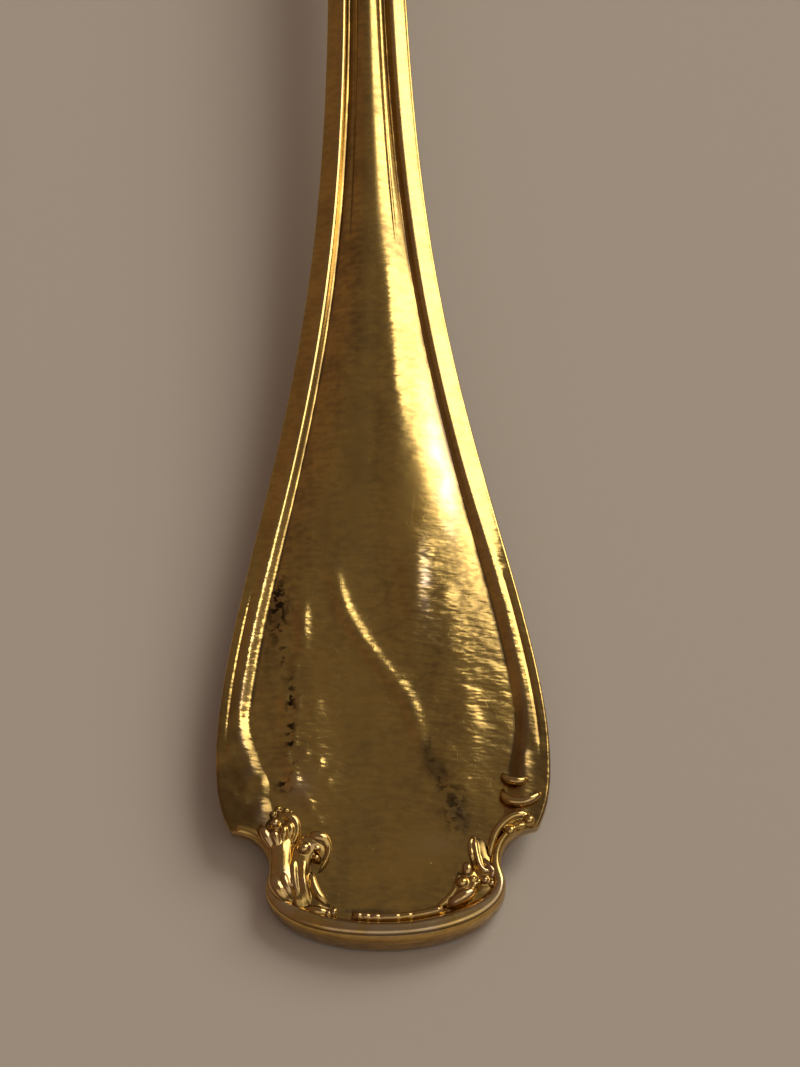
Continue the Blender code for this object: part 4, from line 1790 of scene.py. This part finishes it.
RIGHT_KNUCKLES = (
    Strand(((4.86, 7.38, 0.04, 0.06), (4.90, 7.16, 0.17, 0.14), (5.12, 6.98, 0.22, 0.17),
            (5.44, 6.92, 0.22, 0.19), (5.70, 6.98, 0.17, 0.16), (5.88, 7.10, 0.05, 0.07))),
    Strand(((4.82, 6.66, 0.04, 0.07), (4.84, 6.34, 0.19, 0.16), (5.08, 6.06, 0.24, 0.19),
            (5.54, 5.98, 0.25, 0.20), (5.98, 6.12, 0.23, 0.21), (6.24, 6.34, 0.15, 0.16),
            (6.36, 6.50, 0.03, 0.06))),
)
LEFT_LEAF = (
    Strand(((4.22, 5.72, -0.12, 0.30), (4.24, 5.34, -0.10, 0.60), (4.26, 4.92, -0.07, 0.66),
            (4.24, 4.52, 0.0, 0.58), (4.20, 4.12, 0.10, 0.48), (4.19, 3.70, 0.14, 0.44),
            (4.20, 3.30, 0.14, 0.46), (4.16, 2.90, 0.12, 0.52), (4.04, 2.50, 0.08, 0.56),
            (3.86, 2.14, 0.03, 0.46), (3.60, 1.80, -0.05, 0.24)), flatness=0.5),
    Strand(((4.98, 5.24, 0.06, 0.08), (4.92, 4.98, 0.20, 0.19), (4.80, 4.66, 0.25, 0.20),
            (4.62, 4.32, 0.20, 0.15), (4.48, 4.02, 0.12, 0.06))),
    Strand(((4.56, 5.44, 0.14, 0.10), (4.47, 5.28, 0.25, 0.20), (4.41, 5.10, 0.25, 0.18),
            (4.40, 4.96, 0.16, 0.08))),
    Strand(((4.58, 4.98, 0.14, 0.08), (4.48, 4.74, 0.28, 0.20), (4.38, 4.46, 0.28, 0.18),
            (4.30, 4.16, 0.22, 0.12), (4.26, 3.90, 0.16, 0.06))),
    Strand(((4.10, 5.22, 0.16, 0.06), (4.07, 4.98, 0.30, 0.14), (4.06, 4.66, 0.30, 0.14),
            (4.10, 4.34, 0.20, 0.06))),
    Strand(((4.04, 5.34, 0.14, 0.06), (3.86, 5.16, 0.25, 0.13), (3.78, 4.84, 0.25, 0.13),
            (3.86, 4.48, 0.16, 0.06))),
    Strand(((4.28, 5.54, 0.08, 0.08), (3.96, 5.58, 0.17, 0.16), (3.64, 5.36, 0.17, 0.17),
            (3.54, 4.92, 0.14, 0.15), (3.68, 4.42, 0.08, 0.08))),
    Strand(((4.52, 3.12, 0.06, 0.08), (4.48, 2.76, 0.17, 0.25), (4.30, 2.34, 0.19, 0.30),
            (4.04, 1.98, 0.12, 0.22), (3.84, 1.80, 0.0, 0.08))),
    Strand(((4.16, 3.22, 0.16, 0.06), (4.11, 2.88, 0.30, 0.16), (4.00, 2.50, 0.32, 0.17),
            (3.84, 2.14, 0.24, 0.14), (3.68, 1.88, 0.06, 0.06))),
    Strand(((3.80, 3.06, 0.10, 0.05), (3.78, 2.80, 0.22, 0.13), (3.74, 2.50, 0.22, 0.14),
            (3.64, 2.20, 0.08, 0.06))),
    Strand.ball(4.50, 5.70, 0.04, 0.15),
    Strand.ball(4.30, 5.93, 0.02, 0.15),
    Strand.ball(4.19, 5.68, 0.06, 0.14),
    Strand.ball(3.98, 5.86, 0.02, 0.13),
    Strand.ball(3.80, 5.78, 0.0, 0.11),
)
LEFT_CURL = (
    Strand(((3.28, 1.42, -0.05, 0.15), (3.42, 1.90, 0.04, 0.38), (3.46, 2.50, 0.07, 0.43),
            (3.46, 3.10, 0.09, 0.43), (3.40, 3.62, 0.12, 0.42), (3.24, 4.06, 0.16, 0.44),
            (2.96, 4.30, 0.16, 0.44), (2.66, 4.22, 0.13, 0.38), (2.54, 3.94, 0.06, 0.26),
            (2.60, 3.62, -0.04, 0.10)), flatness=0.5),
    Strand(((3.62, 3.86, 0.10, 0.06), (3.68, 3.46, 0.21, 0.15), (3.70, 2.96, 0.23, 0.17),
            (3.64, 2.46, 0.21, 0.16), (3.48, 2.00, 0.14, 0.12), (3.32, 1.72, 0.02, 0.06))),
    Strand(((3.28, 3.78, 0.16, 0.06), (3.30, 3.34, 0.22, 0.15), (3.32, 2.84, 0.22, 0.17),
            (3.26, 2.36, 0.20, 0.16), (3.14, 1.96, 0.14, 0.12), (2.98, 1.66, 0.02, 0.06))),
    Strand(((3.50, 3.74, 0.12, 0.08), (3.38, 3.90, 0.27, 0.22), (3.24, 4.08, 0.31, 0.25),
            (3.10, 4.26, 0.24, 0.18), (3.02, 4.38, 0.10, 0.08))),
    Strand(((3.22, 4.46, 0.06, 0.08), (3.00, 4.54, 0.22, 0.22), (2.72, 4.56, 0.28, 0.26),
            (2.46, 4.44, 0.27, 0.24), (2.30, 4.20, 0.22, 0.16), (2.28, 3.92, 0.20, 0.11),
            (2.40, 3.58, 0.17, 0.10), (2.56, 3.28, 0.10, 0.07), (2.70, 3.08, 0.0, 0.03))),
    Strand(((3.02, 4.10, 0.12, 0.05), (2.84, 4.10, 0.24, 0.10), (2.64, 4.06, 0.22, 0.09),
            (2.52, 3.98, 0.08, 0.04))),
    Strand(((2.98, 3.80, 0.08, 0.05), (2.84, 3.72, 0.22, 0.12), (2.70, 3.62, 0.20, 0.11),
            (2.60, 3.50, 0.06, 0.04))),
    Strand(((3.00, 3.16, 0.0, 0.05), (2.97, 2.92, 0.12, 0.13), (2.90, 2.56, 0.16, 0.17),
            (2.78, 2.22, 0.16, 0.18), (2.60, 1.94, 0.14, 0.16), (2.42, 1.74, 0.09, 0.11),
            (2.26, 1.62, 0.0, 0.05))),
    Strand(((3.14, 2.96, -0.04, 0.10), (3.12, 2.50, 0.0, 0.24), (3.00, 2.04, 0.0, 0.30),
            (2.72, 1.64, 0.0, 0.28), (2.28, 1.40, -0.02, 0.14)), flatness=0.5),
    Strand(((3.24, 1.58, 0.02, 0.10), (2.94, 1.44, 0.11, 0.19), (2.58, 1.34, 0.13, 0.20),
            (2.34, 1.24, 0.08, 0.12))),
    Strand(((2.36, 1.00, 0.04, 0.06), (2.34, 1.16, 0.17, 0.11), (2.32, 1.34, 0.17, 0.11),
            (2.30, 1.48, 0.04, 0.06))),
    Strand(((2.12, 1.02, 0.04, 0.06), (2.11, 1.20, 0.20, 0.12), (2.10, 1.42, 0.20, 0.12),
            (2.09, 1.58, 0.04, 0.06))),
)
RIGHT_LEAF = (
    # The leaf's bed lies low, so that the painted shade at the melted foot darkens it
    Strand(((3.58, 4.72, -0.10, 0.15), (3.70, 4.24, -0.06, 0.38), (3.84, 3.64, -0.04, 0.46),
            (4.00, 3.04, -0.02, 0.46), (3.96, 2.50, -0.03, 0.43), (3.70, 2.10, -0.08, 0.22)),
           flatness=0.36),
    Strand(((3.54, 4.60, 0.02, 0.05), (3.46, 4.34, 0.10, 0.10), (3.44, 4.02, 0.12, 0.10),
            (3.48, 3.70, 0.11, 0.09), (3.52, 3.48, 0.04, 0.05))),
    Strand(((3.58, 4.56, 0.03, 0.05), (3.62, 4.24, 0.13, 0.10), (3.66, 3.88, 0.16, 0.10),
            (3.72, 3.52, 0.18, 0.10), (3.80, 3.22, 0.19, 0.11), (3.94, 3.02, 0.19, 0.11),
            (4.10, 2.98, 0.16, 0.10), (4.22, 3.00, 0.08, 0.05))),
    Strand(((4.00, 3.56, 0.08, 0.05), (4.08, 3.32, 0.17, 0.09), (4.20, 3.14, 0.20, 0.11),
            (4.30, 2.96, 0.19, 0.12), (4.28, 2.76, 0.14, 0.10), (4.22, 2.60, 0.03, 0.05))),
    Strand.ball(3.98, 2.60, 0.13, 0.16),
    Strand.ball(4.24, 2.48, 0.08, 0.15),
)
RIGHT_CURL = (
    Strand(((2.40, 1.34, -0.05, 0.12), (2.86, 1.78, 0.02, 0.36), (3.26, 2.30, 0.03, 0.46),
            (3.38, 2.86, 0.02, 0.38), (3.38, 3.36, -0.05, 0.15)), flatness=0.5),
    Strand(((3.24, 3.46, 0.05, 0.06), (3.26, 3.28, 0.18, 0.18), (3.29, 3.02, 0.22, 0.21),
            (3.30, 2.80, 0.17, 0.16), (3.30, 2.66, 0.04, 0.05))),
    Strand.ball(3.07, 2.48, 0.19, 0.25),
    Strand.ball(3.50, 2.62, 0.20, 0.15),
    Strand.ball(3.70, 2.52, 0.18, 0.14),
    Strand.ball(3.54, 2.38, 0.19, 0.14),
    Strand(((2.42, 1.48, 0.04, 0.08), (2.70, 1.64, 0.18, 0.22), (3.10, 1.88, 0.23, 0.27),
            (3.44, 2.10, 0.18, 0.22), (3.64, 2.26, 0.04, 0.06))),
    Strand(((2.94, 3.02, 0.0, 0.05), (2.92, 2.78, 0.08, 0.10), (2.80, 2.34, 0.10, 0.12),
            (2.58, 1.98, 0.10, 0.12), (2.30, 1.66, 0.10, 0.14), (1.94, 1.44, 0.02, 0.08))),
)
RIGHT_KNOBS = (
    Strand(((6.02, 5.02, 0.02, 0.16), (5.70, 5.06, 0.08, 0.26), (5.36, 4.98, 0.09, 0.28),
            (5.06, 4.78, 0.08, 0.26), (4.84, 4.50, 0.04, 0.18), (4.72, 4.24, 0.0, 0.10)), flatness=0.6),
    Strand.ball(5.84, 5.16, 0.24, 0.23),
    Strand.ball(5.06, 4.72, 0.22, 0.23),
    Strand(((5.12, 4.76, 0.16, 0.08), (5.34, 4.90, 0.24, 0.11), (5.56, 4.94, 0.23, 0.10),
            (5.74, 5.04, 0.18, 0.08))),
    Strand(((5.86, 5.36, 0.10, 0.12), (5.56, 5.44, 0.19, 0.17), (5.18, 5.36, 0.22, 0.18),
            (4.80, 5.08, 0.22, 0.18), (4.50, 4.70, 0.22, 0.17), (4.32, 4.24, 0.20, 0.15),
            (4.24, 3.82, 0.12, 0.11), (4.24, 3.50, 0.0, 0.04))),
)
LEFT_LUMPS = blots(
    (4.88, 7.06, 0.34, 0.40, 0.10), (4.98, 5.98, 0.34, 0.36, 0.10), (5.60, 6.90, 0.30, 0.24, 0.05),
    (5.70, 6.20, 0.28, 0.22, 0.05), (6.10, 6.55, 0.22, 0.30, 0.03), (5.40, 7.90, 0.26, 0.30, 0.04),
    (5.90, 7.70, 0.20, 0.24, 0.03), (5.30, 5.50, 0.30, 0.24, 0.04), (6.20, 8.60, 0.20, 0.40, 0.03))
RIGHT_LUMPS = blots(
    (5.66, 7.90, 0.22, 0.50, 0.07), (5.40, 9.60, 0.16, 0.50, 0.03), (5.60, 10.9, 0.16, 0.50, 0.03),
    (5.30, 12.2, 0.16, 0.60, 0.03), (6.20, 8.80, 0.18, 0.40, 0.03))


@dataclass(frozen=True)
class Ornament:
    """Border and strands of one side."""

    border: Border
    knuckles: tuple[Strand, ...]
    leaf: tuple[Strand, ...]
    curl: tuple[Strand, ...]


ORNAMENT = {
    Side.RIGHT: Ornament(Border(lumps=RIGHT_LUMPS), RIGHT_KNUCKLES, RIGHT_LEAF, RIGHT_CURL),
    Side.LEFT: Ornament(Border(end_spread=0.5, end_level=0.30, end_length=5.0, lumps=LEFT_LUMPS),
                        (), LEFT_LEAF, LEFT_CURL),
}


@dataclass(frozen=True)
class Scroll:
    """How the rim runs on along one cove."""

    crest_reach: float
    end_reach: float
    height: float


@dataclass
class TipRim(Piece):
    """The rim round the lobe, which runs on along each cove as a scroll, with knobs on the right."""

    left: Scroll = Scroll(0.20, 0.18, 0.10)
    right: Scroll = Scroll(0.22, 0.20, 0.30)
    knobs: tuple[Strand, ...] = RIGHT_KNOBS
    knob_melt: Melt = Melt(voxel=0.035, smoothing=3, rubbed=0.15)
    tip_crest: float = 0.48
    waist_crest: float = 0.26
    tip_fall: float = 0.45
    scroll_fall: float = 0.24
    tip_height: float = 0.60
    tip_outer_power: float = 3.4
    scroll_outer_power: float = 1.5
    inner_power: float = 0.8
    narrow_start: float = 0.5
    cove_lead: float = 0.2
    cove_fade: float = 1.2
    end_lead: float = 1.0
    end_step: float = 0.05
    end_rounding: float = 0.30
    columns: int = 28
    step: float = 0.05
    tip_wear: float = 0.9
    cove_wear: float = 0.05
    wear_lead: float = 0.3
    wear_fade: float = 1.0
    crest_start: float = 0.55
    crest_length: float = 0.35
    # Painted shade down the inner slope towards the bead
    inner_shade_power: float = 2.0

    def shell(self) -> Shell:
        """Loft of the rim from the left shoulder round the tip to the right one, and its knobs.

        Returns:
            The shell of both.
        """
        edge = self.plan.handle_edge()
        lobe = edge.travel_at_station(self.plan.lobe_length)
        waist = edge.travel_at_station(self.plan.waist)
        end = edge.travel_at_station(self.plan.shoulder) - self.end_step
        signed = np.linspace(-end, end, 2 * int(end / self.step) + 1)
        travel = np.abs(signed)
        points, inward = edge.at(signed)
        middle = len(signed) // 2
        points[middle, 0] = 0.0
        inward[middle] = (0.0, 1.0)
        left = signed < 0.0
        narrow = lobe * self.narrow_start
        narrowing = climb(travel, narrow, waist - narrow)
        on_cove = climb(travel, waist - self.cove_lead, self.cove_fade)
        to_end = climb(travel, waist + self.end_lead, end - waist - self.end_lead)
        crest_at = mix(self.tip_crest, self.waist_crest, narrowing)
        crest_at = mix(crest_at, np.where(left, self.left.crest_reach, self.right.crest_reach), on_cove)
        crest_at = mix(crest_at, np.where(left, self.left.end_reach, self.right.end_reach), to_end)
        width = crest_at + mix(self.tip_fall, self.scroll_fall, narrowing)
        scroll_height = np.where(left, self.left.height, self.right.height)
        blunt = np.clip(1.0 - (end - travel) / self.end_rounding, 0.0, 1.0)
        height = mix(self.tip_height, scroll_height, smooth_step(travel / waist))
        height = height * np.sqrt(1.0 - blunt ** 2)
        power = mix(self.tip_outer_power, self.scroll_outer_power, on_cove)
        share = np.linspace(0.0, 1.0, self.columns)
        rise, inner = self.section(share, (crest_at / width)[:, None], power[:, None])
        plan = points[:, None] + inward[:, None] * (width[:, None] * share)[..., None]
        top = np.concatenate([plan, (rise * height[:, None])[..., None]], axis=2)
        wear = mix(self.tip_wear, self.cove_wear, climb(travel, lobe - self.wear_lead, self.wear_fade))
        crest = climb(rise, self.crest_start, self.crest_length) * wear[:, None]
        # Painted shade down the inner slope and at the inner foot
        rim = Shell.loft(with_foot(top, inward * FOOT_INSET), {
            Mark.CREST: with_ends(crest, (0.0, 0.0)),
            Mark.RECESS: with_ends(inner ** self.inner_shade_power, (1.0, 0.0)),
        })
        return rim.joined(self.knob_melt.shell(self.knobs))

    def section(self, share: Values, crest_share: Values, power: Values) -> tuple[Values, Values]:
        """Section of the rim: a round outer shoulder, and a slope from its crest to the panel.

        Args:
            share: Shares of the rim's width, from the outer edge inwards.
            crest_share: Where the crest is in that width.
            power: How square the shoulder is.

        Returns:
            Shares of the height, and how far down the inner slope each place is.
        """
        outer = np.clip(share / crest_share, 0.0, 1.0)
        inner = np.clip((share - crest_share) / (1.0 - crest_share), 0.0, 1.0)
        shoulder = np.sqrt(np.clip(1.0 - (1.0 - outer) ** power, 0.0, 1.0))
        slope = np.cos(inner * np.pi / 2.0) ** self.inner_power
        return np.where(share <= crest_share, shoulder, slope), inner


@dataclass
class TipBead(Piece):
    """The nicked bead between the rim and the panel."""

    width: float = 0.46
    height: float = 0.33
    offset: float = 1.05
    left_reach: float = 1.60
    right_reach: float = 2.75
    nick_places: tuple[float, ...] = (-1.12, -0.72, -0.28, 0.62, 1.18)
    nick_width: float = 0.11
    nick_depth: float = 0.10
    end_length: float = 0.35
    rubbed: float = 0.35
    crest_start: float = 0.6
    crest_length: float = 0.3
    # Painted shade at the bead's foot on both sides
    dark_level: float = 0.75
    columns: int = 15
    step: float = 0.025

    def shell(self) -> Shell:
        """Loft of the bead between the tails of the two curls.

        Returns:
            Its closed shell.
        """
        travel = np.arange(-self.left_reach, self.right_reach + self.step / 2.0, self.step)
        points, inward = self.plan.handle_edge().at(travel)
        turn = np.linspace(0.0, np.pi, self.columns)
        nicks = sum(bump_at(travel, place, self.nick_width) for place in self.nick_places)
        from_end = np.minimum(travel + self.left_reach, self.right_reach - travel)
        closing = np.sqrt(np.clip(from_end / self.end_length, 0.0, 1.0))
        height = self.height * (1.0 - self.nick_depth * nicks) * closing
        reach = self.offset - self.width / 2.0 * np.cos(turn)
        plan = points[:, None] + inward[:, None] * reach[None, :, None]
        top = np.concatenate([plan, (np.sin(turn) * height[:, None])[..., None]], axis=2)
        level = with_ends(np.sin(turn), (0.0, 0.0))
        # Painted shade darkens the bead towards its foot
        return Shell.loft(with_foot(top, np.zeros(2)), {
            Mark.CREST: climb(level, self.crest_start, self.crest_length) * self.rubbed,
            Mark.RECESS: fade(level, 0.0, self.dark_level),
        })


# Studio


@dataclass(frozen=True)
class Softbox:
    """A soft rectangular lamp that faces the spoon; its azimuth turns from ahead to the right."""

    name: str
    azimuth: float
    elevation: float
    distance: float
    width: float
    height: float
    radiance: float
    colour: Colour = (1.0, 0.97, 0.92)

    def place(self) -> bpy.types.Object:
        """Set the lamp up.

        Returns:
            The lamp.
        """
        lamp = bpy.data.lights.new(self.name, "AREA")
        lamp.shape = "RECTANGLE"
        lamp.size = self.width
        lamp.size_y = self.height
        lamp.energy = self.radiance * math.pi * self.width * self.height
        lamp.color = self.colour
        turn = math.radians(self.azimuth)
        lift = math.radians(self.elevation)
        way = Vector((math.sin(turn) * math.cos(lift), math.cos(turn) * math.cos(lift), math.sin(lift)))
        piece = bpy.data.objects.new(self.name, lamp)
        piece.location = way * self.distance
        piece.rotation_euler = (-way).to_track_quat("-Z", "Y").to_euler()
        bpy.context.scene.collection.objects.link(piece)
        return piece


@dataclass(frozen=True)
class Studio:
    """Floor, lamps, surroundings and camera."""

    floor_half: float = 3.0
    floor_colour: Colour = (0.66, 0.57, 0.48)
    floor_roughness: float = 0.9
    room_colour: Colour = (1.0, 0.81, 0.66)
    left_colour: Colour = (1.12, 0.73, 0.54)
    left_reach: float = 0.5
    left_light: float = 0.16
    right_light: float = 0.26
    right_start: float = 0.25
    right_end: float = 1.0
    horizon_light: float = 0.28
    horizon_height: float = 0.5
    near_light: float = 0.85
    near_reach: float = 0.3
    lamps: tuple[Softbox, ...] = (
        Softbox("key_softbox", 46.0, 42.0, 1.6, 0.70, 1.2, 3.6, (1.0, 1.0, 0.93)),
        Softbox("side_softbox", 108.0, 55.0, 1.6, 1.3, 1.0, 0.50),
        Softbox("top_softbox", 180.0, 56.0, 1.6, 1.6, 1.0, 0.4),
    )
    camera_place: tuple[float, float, float] = (-1.32561, -142.6337, 151.04289)
    camera_yaw: float = -1.18967
    camera_fall: float = 54.0
    focal_px: float = 4352.87
    image_height_px: float = 1067.0
    sensor_height: float = 36.0
    clip_start: float = 0.005

    def build(self) -> None:
        """Set up the whole studio."""
        self.floor()
        self.surroundings()
        for lamp in self.lamps:
            lamp.place()
        self.camera()
        bpy.context.scene.view_settings.view_transform = "Standard"

    def floor(self) -> bpy.types.Object:
        """Plain pale floor under the spoon.

        Returns:
            The floor.
        """
        half = self.floor_half
        mesh = bpy.data.meshes.new("floor")
        mesh.from_pydata([(-half, -half, 0.0), (half, -half, 0.0), (half, half, 0.0), (-half, half, 0.0)],
                         [], [(0, 1, 2, 3)])
        material = bpy.data.materials.new("floor_paper")
        material.use_nodes = True
        shader = material.node_tree.nodes["Principled BSDF"]
        shader.inputs["Base Color"].default_value = (*self.floor_colour, 1.0)
        shader.inputs["Roughness"].default_value = self.floor_roughness
        mesh.materials.append(material)
        floor = bpy.data.objects.new("floor", mesh)
        bpy.context.scene.collection.objects.link(floor)
        return floor

    def surroundings(self) -> None:
        """Dim room that is brighter on the right, and darker at the horizon and on the near side."""
        world = bpy.data.worlds.new("room")
        world.use_nodes = True
        write = NodeWriter(world.node_tree)
        back = world.node_tree.nodes["Background"]
        way = write.node("ShaderNodeSeparateXYZ")
        write.feed(write.node("ShaderNodeTexCoord").outputs["Generated"], way.inputs["Vector"])
        x, y, z = way.outputs
        sides = write.ramp(x, self.right_start, self.right_end, self.left_light, self.right_light,
                           Ramp.STRAIGHT)
        lift = write.ramp(z, 0.0, self.horizon_height, self.horizon_light)
        depth = write.ramp(y, -self.near_reach, self.near_reach, self.near_light)
        tint = write.blend(write.ramp(x, -self.left_reach, 0.0), self.left_colour, self.room_colour)
        write.feed(tint, back.inputs["Color"])
        write.feed(write.maths("MULTIPLY", sides, lift, depth), back.inputs["Strength"])
        bpy.context.scene.world = world

    def camera(self) -> None:
        """Camera at the photograph's place."""
        data = bpy.data.cameras.new("camera")
        data.sensor_fit = "VERTICAL"
        data.sensor_height = self.sensor_height
        data.lens = self.focal_px / self.image_height_px * self.sensor_height
        data.clip_start = self.clip_start
        camera = bpy.data.objects.new("camera", data)
        turn = Matrix.Rotation(math.radians(self.camera_yaw), 4, "Z")
        tilt = Matrix.Rotation(math.radians(90.0 - self.camera_fall), 4, "X")
        place = Matrix.Translation(Vector(self.camera_place) * MILLIMETRE)
        camera.matrix_world = place @ turn @ tilt
        bpy.context.scene.collection.objects.link(camera)
        bpy.context.scene.camera = camera


# Assembly


@dataclass
class Spoon:
    """The whole spoon: its drawing, its finishes and its pieces."""

    spine: Spine = field(default_factory=Spine)
    plan: Plan = field(default_factory=Plan)
    body_finish: Gilding = Gilding("gilt_plate")
    moulding_finish: Gilding = Gilding("gilt_mouldings", tarnish_and_shade_brown=(0.12, 0.07, 0.03),
                                       base_metal=(0.62, 0.42, 0.29), roughness=0.13, tarnish=0.40)
    rim_finish: Gilding = Gilding("worn_gilt", base_metal=(0.66, 0.48, 0.28), tarnish=0.45, wear=1.0)

    def pieces(self) -> list[Piece]:
        """Every piece of the spoon.

        Returns:
            The pieces, ready to be placed.
        """
        handle = HandleBlank("handle_blank", self.spine, self.plan, Slot.BODY)
        found: list[Piece] = [
            handle,
            Bowl("bowl", self.spine, self.plan, Slot.BODY, handle=handle),
            TipRim("tip_rim", self.spine, self.plan, Slot.RIM),
            TipBead("tip_bead", self.spine, self.plan, Slot.MOULDINGS),
        ]
        for side, ornament in ORNAMENT.items():
            drawing = (self.spine, self.plan, Slot.MOULDINGS, side)
            found += [
                Thread(side.word + "_thread", *drawing, border=ornament.border),
                Knuckles(side.word + "_knuckles", *drawing, strands=ornament.knuckles,
                         border=ornament.border),
                Melted(side.word + "_leaf", *drawing, strands=ornament.leaf),
                Melted(side.word + "_curl", *drawing, strands=ornament.curl),
            ]
        return found

    def build(self) -> None:
        """Build and dress every piece."""
        effects = EffectGroups()
        finishes = {
            Slot.BODY: self.body_finish.material(effects),
            Slot.MOULDINGS: self.moulding_finish.material(effects),
            Slot.RIM: self.rim_finish.material(effects),
        }
        for piece in self.pieces():
            piece.place(finishes[piece.slot])


def main() -> None:
    """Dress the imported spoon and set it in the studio."""
    logging.basicConfig(level=logging.INFO, format="%(name)s: %(message)s")
    for item in list(bpy.data.objects):
        bpy.data.objects.remove(item, do_unlink=True)
    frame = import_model()
    LOG.info("frame has %d nodes", len(frame["nodes"]))
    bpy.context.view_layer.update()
    Spoon().build()
    Studio().build()


if __name__ == "__main__":
    main()
